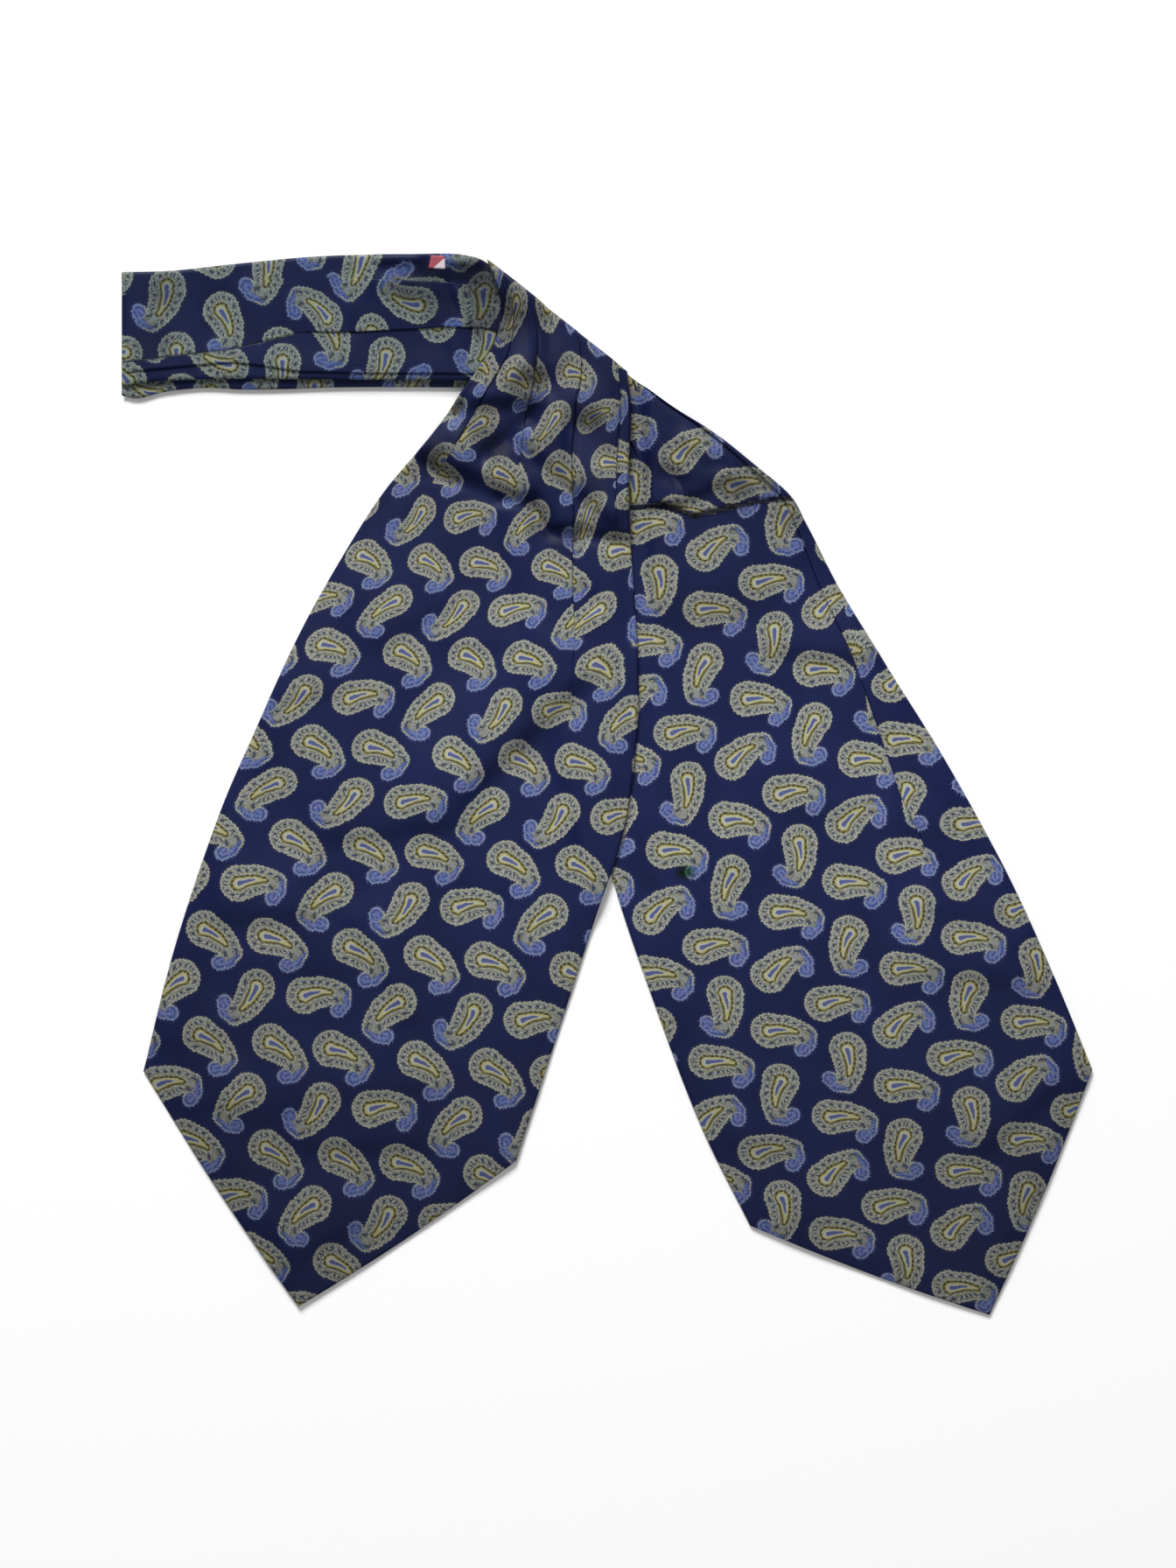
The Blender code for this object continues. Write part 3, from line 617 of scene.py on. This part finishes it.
leftBlade = {
    "sections": np.array([
        (0, -50.6, 220.6, 8.5, 174), (0.06, -45, 203, 10, 157.5), (0.11, -46, 189.5, 9.5, 142),
        (0.2, -60.5, 166.5, 9.3, 122), (0.28, -75.5, 146, 10, 100), (0.36, -93.5, 125, 11.5, 79),
        (0.46, -112.5, 95.5, 13, 54), (0.56, -130.5, 63, 12.8, 24), (0.66, -149.2, 22, 7.5, -17),
        (0.78, -165.5, -16.5, -5.5, -57.7), (0.88, -182, -66, -21.2, -106),
        (1, -196, -121, -38.5, -159)], sectionType),
    "tip": (-130.5, -220.5), "tipStarts": 0.55, "length": 410.0,
    "spans": (14, 30, 24, 18, 7), "rows": 236,
    "pleats": np.array([
        ("edgePleat", 0.1, 0.1, 0.12, 0.14, 0.16, 0.18, -1, 0.9, -1, 0.34, 9),
        ("shoulderPleat", 0.27, 0.29, 0.44, 0.5, 0.5, 0.5, -1, 1, -1, 0.3, 12),
        ("mainPleat", 0.65, 0.59, 0.72, 0.79, 0.8, 0.74, -1, 1.5, -1, 0.58, 14),
        ("sidePleat", 0.93, 0.91, 0.93, 0.95, 0.95, 0.92, -1, 1.1, -1, 0.33, 12)], pleatType),
    "creases": np.array([
        (-79, 137.5, -64, 130.5, -1.8, 4.2), (-62, 130, -45, 121, -1, 4),
        (-45, 121, -31, 119.5, -1.6, 3.2), (-31, 119, -23, 107.5, -2, 3.2),
        (-23, 107, -14, 105, -1, 3.5), (-10, 107, 3, 104, -2.2, 3.6),
        (-32.6, 153.5, -51.5, 138.5, -2.2, 3.6), (-31.5, 200, -27.5, 170, -1.2, 2.6),
        (-15.5, 156, -15.5, 138, -1.2, 2.6), (-53.5, 172.5, -64, 156, -1.8, 2.4),
        (-10.5, 82, -6, 76, -1.2, 3.4), (-10.7, 39.6, -49.6, 0.7, -0.9, 6), (-64, 148, -38, 172, 1, 6),
        (-24, 160, -22, 146, 0.9, 4), (-44, 133, -32, 128, 0.9, 4.5)], creaseType),
    # Folds that drop on one side, to the right of their run, and level out slowly on the other
    "steps": np.array([
        (-53, -7, -12, 32, 3, 12, 35), (-108, -28, -66, -22, 1.8, 10, 25),
        (-158, -63, -132, -61, 2.2, 11, 22), (-112, -64, -90, -98, 2, 10, 18),
        (-150, -84, -118, -84, 1, 10, 20), (-188, -114, -170, -113, 1.2, 9, 18),
        (-148, -146, -128, -140, 1.4, 10, 20), (-172, -141, -158, -140, 1.2, 9, 15),
        (-124, -159, -86, -158, 1.8, 11, 25), (-128, -204, -106, -192, 1.8, 10, 22),
        (-108, -136, -82, -134, 1.3, 10, 20), (-92, 56, -68, 70, 1.2, 9, 20),
        (-142, 29, -120, 34, 1.2, 9, 18), (-66, 53, -48, 54, 0.8, 8, 15), (-38, 141, -3, 110, 3, 7, 12),
        (-84, 129, -62, 128, 2.5, 8, 14), (-35, 166, -21, 168, 2, 9, 14),
        (-14, 149, -4, 150, 2.2, 9, 14), (-56, 200, -34, 192, 2.6, 10, 12)], stepType),
    # Lower end of the gathers' bulge, and over what length it falls to the flat cloth
    "foot": np.array([
        (-95, 144, 8), (-78, 134.5, 6), (-64, 126.5, 6), (-52, 121, 12), (-45, 117.5, 10),
        (-31, 116, 6), (-24, 104, 6), (-14, 102, 11), (-6, 102, 6), (3, 101, 6), (12, 100, 10)], footType),
    "throatRise": 3.4,
    # Its climbs: how far before the other blade's edge and over what length, then from what x and y
    # and over what lengths up to the neckband, and how high the band's pleats stand
    "bladeClimb": (18.0, 12.0), "bandClimbX": (-23.5, 8.0), "bandClimbY": (156.0, 8.0), "bandPleats": 1.2,
    "chart": {"x": -139.1, "y": -68.45, "turn": -59.6},
    # How far the gathers drag the print from its straight repeat, at the two edges
    "drift": np.array([
        (0, -30, -22, -6, -6), (0.2, -32, -22, -6, -6), (0.32, -31.5, -21, -4.5, -4.5),
        (0.38, -30.5, -20, -3.5, -3.5), (0.44, -26, -16.5, -1.5, -3), (0.5, -21.5, -15, 0.5, -1),
        (0.56, -16.5, -12, 2.3, 0), (0.6, -13.2, -9.5, 2, -1), (0.65, -9, -7, 1.5, -1.7),
        (0.7, -3.8, -4.5, 2, -1.7), (0.75, -0.8, -3, 1.2, -1.7), (1, 0, -3.6, 0, -0.9)], driftType),
    # Further moves of the print near a point of one panel, counted from the left edge
    "pins": np.array([
        (1, -39.2, 167.6, -8.9, -7.7, 0), (1, -60.3, 148.7, -14.4, -5.2, 0),
        (1, -43.7, 127.7, -6.6, -5.8, 0), (1, -58.1, 114.3, -3.9, -1.3, 0),
        (2, -26.6, 151.8, -1.2, -2, 0), (2, -22.2, 128.8, -7.9, -3.6, 0),
        (2, -33.7, 109.9, -4.3, -2, 0), (2, -12.6, 169.8, -0.4, -9, 0), (3, -12.6, 169.8, -0.4, -9, 0),
        (2, -26, 142, -6.6, -5.7, 0), (3, -3, 143, -6, -2, 0), (3, 3.6, 97.3, 1.4, 6, 42),
        (3, -0.4, 71.8, 6.5, 1, 12), (3, -8.9, 48.1, -2.4, -1, 0), (4, 3.6, 97.3, 1.4, 6, 42),
        (4, -0.4, 71.8, 6.5, 1, 12), (4, -8.9, 48.1, -2.4, -1, 0), (2, -25.2, 128.8, -4, -4, 0)], pinType),
    # Painted light and shade: fading along x (0) or y (1) between two places in metres, with its two
    # strengths
    "fades": ((1, 0.06, 0.17, 1.05, 0.78), (1, -0.18, -0.02, 0.73, 1.08), (0, -0.17, -0.04, 0.87, 1.01)),
    "tint": (1.0, 1.0, 1.0),
    # Painted shade in the folds of the gathers and in a broad dip lower down: a stroke's two ends, radius and
    # tint
    "paintedShadeAndStains": (
        (-47, 203, -45, 203, 9, 0.45, 0.45, 0.5), (-41, 192, -39, 192, 8, 0.5, 0.5, 0.55),
        (-31.5, 172, -29.5, 172, 6, 0.5, 0.5, 0.55), (-9.6, 154, -7.6, 154, 6, 0.45, 0.45, 0.5),
        (-73, 139, -71, 139, 6, 0.35, 0.35, 0.4), (-47, 140, -45, 140, 5, 0.55, 0.55, 0.6),
        (-26, 146, -24, 146, 5, 0.75, 0.75, 0.8), (-18, 136, -16, 136, 6, 0.7, 0.7, 0.75),
        (-8, 126, -6, 126, 6, 0.6, 0.6, 0.65), (-30, 115, -28, 115, 5, 0.65, 0.65, 0.7),
        (-35, 17, -33, 17, 8, 0.75, 0.75, 0.8), (-20, 102, -18, 102, 5, 0.75, 0.75, 0.8),
        (-37, 166, -33, 159, 6, 0.72, 0.72, 0.76), (-5, 149, 0, 143, 5, 0.74, 0.74, 0.78),
        (-31, 107.5, -12, 104.5, 3.6, 0.62, 0.62, 0.66), (-24, 186, -20, 178, 5, 0.75, 0.75, 0.8),
        (-53, 148, -46, 143.5, 5, 0.72, 0.72, 0.76)),
}


def restHeight(x, y):
    # Underside of the left blade: the table, climbing over the right blade and over the neckband
    below = rightBlade["sections"][::-1]
    edgeX = np.interp(y, below["leftY"], below["leftX"])
    ahead, bladeOver = leftBlade["bladeClimb"]
    fromX, overX = leftBlade["bandClimbX"]
    fromY, overY = leftBlade["bandClimbY"]
    onBlade = smoothStep((x - edgeX + ahead) / bladeOver)
    bandSide = smoothStep((fromX - x) / overX)
    bandFoot = smoothStep((y - fromY) / overY)
    bladeTop = wall["blade"] + wall["restGap"]
    bandTop = 2 * wall["band"] + 2 * wall["restGap"] + leftBlade["bandPleats"]
    return onBlade * bladeTop + (bandTop - onBlade * bladeTop) * bandSide * bandFoot


def buildLeftBlade(material):
    grid = clothGrid(leftBlade, plyProfile)
    x, y = grid["x"], grid["y"]
    under = restHeight(grid["flatX"], grid["flatY"])
    thick = wall["blade"] + plump(grid) + throatBulge(leftBlade, x, y)
    thick = thick + creaseHeight(leftBlade["creases"], x, y) + stepHeight(leftBlade["steps"], x, y)
    thick = softFloor(thick + grid["rise"] + ripple(x, y))
    half = grid["roll"] * thick / 2
    middle = under + thick / 2
    return wallMesh("bladeLeft", grid, middle - half, middle + half, material)


rightBlade = {
    "sections": np.array([
        (0, -49.8, 220, 12, 170.6), (0.07, -49.4, 190, 28.5, 158.8), (0.14, -46, 160, 46.5, 147.5),
        (0.2, -40, 136, 64.5, 133), (0.24, -34.5, 117, 77, 122.5), (0.29, -29, 98, 84.5, 109.5),
        (0.38, -19, 52, 97.5, 84), (0.49, -8, 3, 118.5, 49.5), (0.6, 3.2, -43, 141, 13.5),
        (0.72, 19.2, -90.5, 166.5, -32.5), (0.86, 39, -142.8, 188, -79),
        (1, 60.4, -186.3, 205, -120.3)], sectionType),
    "tip": (161.5, -224.0), "tipStarts": 0.6, "length": 440.0,
    "spans": (34, 10, 8, 16, 16), "rows": 250,
    "pleats": np.array([
        ("middle", 0.44, 0.34, 0.36, 0.44, 0.5, 0.5, 0, 0, 0, 0, 0),
        ("innerPleat", 0.9, 0.58, 0.47, 0.56, 0.61, 0.63, -1, 1.1, -1, 0.24, 7),
        ("outerPleat", 0.95, 0.7, 0.58, 0.66, 0.7, 0.71, -1, 1.2, -1, 0.27, 8),
        ("tuck", 0.985, 0.965, 0.96, 0.92, 0.84, 0.8, 1, 1.3, -1, 0.84, 16)], pleatType),
    "creases": np.array([
        (64, 128.5, 46, 136, -1.2, 3.2), (73, 118.5, 54, 121, -1.6, 3.8),
        (48, 120, 36, 120.5, -1.4, 3.4), (29, 117, 12, 114.5, -1.3, 2.8), (35, 119, 27, 131, -1.2, 2.6),
        (24, 131, 44, 124, -1, 3.5), (52, 134, 33, 146, 1.4, 4), (50, 144, 64, 132.5, 1.2, 2.6)], creaseType),
    "steps": np.array([
        (10, 58, 60, 66, 2.6, 20, 40), (74, 50, 110, 47, 2.4, 11, 22), (130, -86, 172, -90, 2, 13, 25),
        (166, -156, 192, -134, 2, 12, 22), (36, 113, 72, 112, 2.2, 8, 12),
        (136, -60, 160, -62, 1.6, 12, 20), (88, -18, 100, -17, 0.8, 10, 15),
        (120, -24, 136, -26, 1, 10, 15), (52, -44, 64, -44, 0.8, 10, 15),
        (55, -158, 70, -158, 1, 10, 15), (78, -189, 98, -189, 0.9, 10, 15)], stepType),
    "foot": np.array([
        (12, 111, 8), (29, 113, 8), (40, 119, 9), (50, 125.5, 6), (64, 124, 6), (90, 124, 8)], footType),
    "throatRise": 2.6,
    # Left of this line, where the other blade lies on it, the blade is plain. Its relief starts there
    # over the length given.
    "shows": np.array([(12, 180), (14, 128), (17, 66), (14, -3), (6, -36)], pointType), "showsOver": 6.0,
    "chart": {"x": 126.4, "y": -30.2, "turn": -23.7, "along": 1.037, "across": 0.929},
    "drift": np.array([
        (0, -17, -18, -19, -19), (0.2, -16, -18, -17.5, -17.5), (0.3, -14.5, -17.5, -16.5, -16.5),
        (0.37, -12.5, -16.5, -15, -15.5), (0.43, -9.5, -14.5, -11.5, -12.5),
        (0.48, -6.5, -13.5, -9.5, -9.5), (0.53, -3.5, -10.8, -6.3, -8.3), (0.59, -1.8, -8, -3.4, -4.5),
        (0.63, -0.2, -5.5, -2, -2.5), (0.67, 1.6, -3.6, -1.4, -0.6), (0.72, 1.8, -2.6, 0.2, -0.5),
        (1, 1.6, -2.2, 2.2, -2)], driftType),
    # Below the tuck the strip at the edge shows cloth from further out
    "pins": np.array([
        (3, 114.3, 42.6, -18.5, -7.5, 0), (3, 122.7, 17.8, -11.5, -5.4, 0),
        (3, 126.8, -6.9, -6.4, -2.6, 0)], pinType),
    # Cloth hidden by a fold across the gathers: above its line the print has moved on
    "skips": ({"line": np.array([
        (8, 117), (24, 118), (37, 113.5), (52, 117), (70, 120.5), (95, 121)], pointType),
               "move": (-41.0, -22.6)},),
    # Painted light and shade: lighter in the middle, darker towards the gathers, the point and the far right
    # side
    "fades": ((1, 0.02, 0.17, 1.10, 0.76), (1, -0.18, -0.02, 0.73, 1.08), (0, 0.11, 0.18, 1.0, 0.88)),
    "tint": (1.0, 1.0, 1.0),
    # Painted shade in the folds of the gathers, painted shadow lines along the fold that hides cloth, and
    # stains lower down: a stroke's two ends, radius and tint
    "paintedShadeAndStains": (
        (54, 124.5, 56, 124.5, 7, 0.6, 0.6, 0.65), (76, 112, 78, 112, 6, 0.7, 0.7, 0.75),
        (19, 135, 30, 128.5, 5.5, 0.74, 0.74, 0.78), (31.8, -36.8, 33.8, -36.8, 3, 0.12, 0.4, 0.1),
        (17, -41.8, 19, -41.8, 3.5, 0.75, 0.75, 0.75), (9, 117, 24, 118, 1.4, 0.12, 0.12, 0.15),
        (24, 118, 37, 113.5, 1.5, 0.12, 0.12, 0.15), (37, 113.5, 52, 117, 1.5, 0.12, 0.12, 0.15),
        (52, 117, 70, 120.5, 1.4, 0.15, 0.15, 0.18), (70, 120.5, 84, 120.8, 1.2, 0.2, 0.2, 0.24)),
}


def buildRightBlade(material):
    grid = clothGrid(rightBlade)
    x, y = grid["x"], grid["y"]
    line = rightBlade["shows"][::-1]
    shows = smoothStep((x - np.interp(y, line["y"], line["x"])) / rightBlade["showsOver"])
    relief = throatBulge(rightBlade, x, y) + creaseHeight(rightBlade["creases"], x, y)
    relief = relief + stepHeight(rightBlade["steps"], x, y)
    thick = softFloor(wall["blade"] + (plump(grid) + relief + grid["rise"] + ripple(x, y)) * shows)
    half = grid["roll"] * thick / 2
    return wallMesh("bladeRight", grid, thick / 2 - half, thick / 2 + half, material)


foldX = -205.0  # left end of the neckband, where it is folded in half
foldRound = 2.2  # length over which its two runs curve to each other there
bandUpper = {
    "sections": np.array([
        (0, foldX, 168.5, foldX, 216.3), (0.1, -189, 170.2, -187.5, 216.6),
        (0.28, -158, 171.2, -158, 219.6), (0.5, -123, 171, -123, 222.8), (0.74, -84, 170.8, -84, 223.7),
        (0.88, -59, 170.6, -59.5, 223.2), (0.93, -51, 170.6, -52, 220.9),
        (1, -37.5, 170.6, -37.5, 208.6)], sectionType),
    "length": 167.5,
    "spans": (4, 12, 14, 7), "rows": 110,
    "pleats": np.array([
        ("lowerPleat", 0.1, 0.11, 0.14, 0.06, 0.05, 0.05, 1, 0.9, -0.04, 2, 10),
        ("middlePleat", 0.2, 0.22, 0.26, 0.38, 0.38, 0.44, 1, 0.8, 0.42, 2, 14),
        ("topPleat", 0.8, 0.81, 0.83, 0.83, 0.8, 0.74, -1, 0.9, 0.56, 2, 14)], pleatType),
    "creases": np.array([
        (-96, 221.5, -79, 221.8, 2.2, 2.2), (-64.5, 220.5, -56, 219.5, 2.2, 2.2),
        (-94, 216.5, -52, 211, -0.7, 3.5), (-69.6, 212.4, -55, 186.5, -0.9, 2.4),
        (-63, 207, -50, 186, 1.5, 3), (-77, 206, -63, 184, 0.8, 4), (-162, 205, -172, 176, -0.5, 5),
        (-121, 206, -108, 192, -0.5, 4)], creaseType),
    "steps": np.array([
        (-96, 203, -68, 203, 1.8, 11, 10), (-66, 207, -52, 203, 1.8, 9, 9)], stepType),
    "chart": {"x": -104.6, "y": 254.3, "turn": -135.6},
    # The two lower panels show cloth from further along, because of what the middle pleat hides
    "panelMoves": ((0, 45.0, -6.0), (1, 45.0, -6.0)),
    "pins": np.array([
        (2, -188, 200, 0.4, -1.5, 0), (2, -122, 201.6, 0.7, -2.6, 0), (2, -84.9, 205.3, -7.6, -5.4, 0),
        (2, -100.3, 195, -5.5, -6, 0), (2, -107, 213, -5.5, -4, 0), (3, -107, 213, -5.5, -4, 0)], pinType),
    # Painted light and shade: darker up the table, towards the fold of the band
    "fades": ((1, 0.02, 0.17, 1.10, 0.76),),
    "tint": (0.90, 1.0, 1.08),
    "ripple": (0.4, 1.5),  # share of the blades' ripple, and how much closer its waves lie
    # Painted shade in the band's folds and in the recess by the label, and painted shadow lines along the
    # middle pleat: a stroke's two ends, radius and tint
    "paintedShadeAndStains": (
        (-188, 208, -186, 208, 8, 0.6, 0.6, 0.65), (-192, 186, -190, 186, 8, 0.6, 0.6, 0.65),
        (-84, 209, -82, 209, 8, 0.55, 0.55, 0.6), (-72, 203, -70, 203, 7, 0.6, 0.6, 0.65),
        (-55, 209, -53, 209, 8, 0.35, 0.35, 0.4), (-52, 196, -50, 196, 7, 0.45, 0.45, 0.5),
        (-76, 216.5, -50, 218, 5, 0.4, 0.42, 0.45), (-204, 178.2, -185, 180.5, 0.6, 0.4, 0.4, 0.45),
        (-185, 180.5, -158, 183.8, 0.6, 0.4, 0.4, 0.45),
        (-158, 183.8, -131, 190.2, 0.6, 0.4, 0.4, 0.45)),
}

bandUnder = {
    "sections": np.array([
        (0, foldX, 164.4, foldX, 216), (0.04, -199, 163.2, -199, 215.6), (0.1, -189, 165.6, -189, 216),
        (0.2, -173, 167.6, -173, 217.4), (0.33, -153, 167, -153, 219), (0.6, -109, 168, -109, 221.6),
        (0.8, -80, 168, -80, 221.8), (0.92, -62, 168, -62, 220.6),
        (1, -50.6, 168.6, -50.6, 217.5)], sectionType),
    "length": 154.4,
    "spans": (30,), "rows": 110,
    "creases": np.array([(-190, 172, -178, 186, -0.3, 5)], creaseType),
    "chart": {"x": -90.0, "y": 236.0, "turn": -135.6},
}


def buildBandRun(name, piece, base, material):
    # At its left end a run curves to the height where the two runs meet in the fold, along a
    # quarter circle: sqrt(1 - (1 - t)^2), with t the share of the way in
    grid = clothGrid(piece)
    x, y = grid["x"], grid["y"]
    thick = wall["band"] + grid["rise"] + creaseHeight(piece["creases"], x, y)
    thick = softFloor(thick + stepHeight(piece.get("steps", ()), x, y))
    if "ripple" in piece:
        share, closer = piece["ripple"]
        thick = thick + share * ripple(x * closer, y * closer)
    fold = np.sqrt(np.clip(1.0 - (1.0 - (x - foldX) / foldRound) ** 2, 0.0, 1.0))
    fold = np.where(x - foldX > foldRound, 1.0, fold)
    meet = wall["band"] + wall["restGap"] / 2
    sideRoll = grid["roll"][len(grid["down"]) // 2][None, :]
    endRoll = np.where(grid["down"] > 0.5, grid["roll"][:, grid["roll"].shape[1] // 2], 1.0)[:, None]
    roll = sideRoll * endRoll
    middle = base + thick / 2
    under = meet + (middle - roll * thick / 2 - meet) * fold
    over = meet + (middle + roll * thick / 2 - meet) * fold
    return wallMesh(name, grid, under, over, material)


leftSilk = printedSilk("printedSilkLeft", leftBlade)
rightSilk = printedSilk("printedSilkRight", rightBlade)
bandSilk = printedSilk("printedSilkBand", bandUpper)
print("silk printed")

pieces = {
    "blade_left": buildLeftBlade(leftSilk),
    "blade_right": buildRightBlade(rightSilk),
    "band_upper": buildBandRun("bandUpper", bandUpper, wall["band"] + wall["restGap"], bandSilk),
    "band_under": buildBandRun("bandUnder", bandUnder, 0.0, bandSilk),
}
for node, piece in pieces.items():
    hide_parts(node)


labelTab = {
    "corners": np.array([(-75.4, 217.4), (-68.0, 217.0), (-68.4, 222.6), (-74.2, 222.9)], pointType),
    "thick": 1.0, "pressed": 1.0,  # its ribbon, and how high it sits on the band's pressed edge
    # rolled edge: shares in from the edge and up the half wall
    "edge": ((0.0, 0.0), (0.02, 0.55), (0.06, 0.88)), "flatFrom": 0.12, "steps": 12,
    # two points of the slanted line between its two colours
    "split": ((-68.7, 221.5), (-72.3, 218.3)), "red": (0.30, 0.04, 0.065), "white": (0.56, 0.51, 0.53),
    "roughness": 0.6,
}


def buildLabel():
    # Folded tab: a bilinear patch between its four corners, closed by a wall with a rolled edge
    inset, risen = np.array(labelTab["edge"]).T
    flat = np.linspace(labelTab["flatFrom"], 1.0 - labelTab["flatFrom"], labelTab["steps"])
    share = np.concatenate([inset, flat, 1.0 - inset[::-1]])
    rollOne = np.concatenate([risen, np.ones(len(flat)), risen[::-1]])
    across, up = np.meshgrid(share, share)
    corner = labelTab["corners"]
    plan = {}
    for key in ("x", "y"):
        low = corner[key][0] + (corner[key][1] - corner[key][0]) * across
        high = corner[key][3] + (corner[key][2] - corner[key][3]) * across
        plan[key] = low + (high - low) * up
    roll = rollOne[:, None] * rollOne[None, :]
    middle = 2 * wall["band"] + wall["restGap"] + labelTab["pressed"] + labelTab["thick"] / 2
    grid = {"x": plan["x"][::-1], "y": plan["y"][::-1], "roll": roll}
    grid.update(flatX=grid["x"], flatY=grid["y"], along=grid["x"], across=grid["y"])
    board = Board("wovenLabel")
    place = board.add("ShaderNodeTexCoord", {}, {}, "Object")
    x, y = [board.part(place, index) * (1.0 / mm) for index in (0, 1)]
    (topX, topY), (lowX, lowY) = labelTab["split"]
    past = x - topX - (y - topY) * ((topX - lowX) / (topY - lowY))
    color = board.mixColor(board.stretch(past, -0.25, 0.25), labelTab["red"], labelTab["white"])
    ribbon = board.surface({"Base Color": color, "Roughness": labelTab["roughness"]})
    half = roll * labelTab["thick"] / 2
    return wallMesh("labelTab", grid, middle - half, middle + half, ribbon)


label = buildLabel()
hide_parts("label_tab")


# Floor and light in metres: a pale floor just under the table's plane, two soft lamps and a dim room
studio = {
    "floorHalf": 3.0, "floorZ": -0.0003, "floorTone": 0.98, "floorRoughness": 0.9,
    # place, size and power of a lamp
    "lamps": {"windowLight": ((-0.9, 3.6, 2.6), 1.6, 264.0), "roomLight": ((0.3, -0.6, 2.4), 1.8, 11.0)},
    "roomTone": 1.0, "roomStrength": 0.20,
}


def buildStage():
    mesh = bpy.data.meshes.new("floor")
    half, z = studio["floorHalf"], studio["floorZ"]
    corners = [(-half, -half, z), (half, -half, z), (half, half, z), (-half, half, z)]
    mesh.from_pydata(corners, [], [(0, 1, 2, 3)])
    paint = {"Base Color": (studio["floorTone"],) * 3, "Roughness": studio["floorRoughness"]}
    mesh.materials.append(Board("paleFloor").surface(paint))
    floor = bpy.data.objects.new("floor", mesh)
    bpy.context.collection.objects.link(floor)


def softLight(name, place, size, power):
    # A square lamp that faces the middle of the table
    light = bpy.data.lights.new(name, "AREA")
    light.shape = "SQUARE"
    light.size = size
    light.energy = power
    lamp = bpy.data.objects.new(name, light)
    lamp.location = place
    lamp.rotation_euler = (-Vector(place)).to_track_quat("-Z", "Y").to_euler()
    bpy.context.collection.objects.link(lamp)


buildStage()
for name, (place, size, power) in studio["lamps"].items():
    softLight(name, place, size, power)
world = bpy.data.worlds.new("room")
bpy.context.scene.world = world
world.use_nodes = True
room = world.node_tree.nodes["Background"].inputs
room["Color"].default_value = (studio["roomTone"],) * 3 + (1.0,)
room["Strength"].default_value = studio["roomStrength"]
bpy.context.scene.view_settings.view_transform = "Standard"
print("floor and lights set")

# Straight above: its place, the width of its film in millimetres, and the length of table that it sees
viewer = {"place": (-0.00814, 0.00037, 1.2), "film": 36.0, "sees": 0.66304}
camera = bpy.data.cameras.new("camera")
camera.sensor_width = viewer["film"]
camera.lens = viewer["film"] * viewer["place"][2] / viewer["sees"]
cameraObject = bpy.data.objects.new("camera", camera)
cameraObject.location = viewer["place"]
bpy.context.collection.objects.link(cameraObject)
bpy.context.scene.camera = cameraObject
print("camera set")
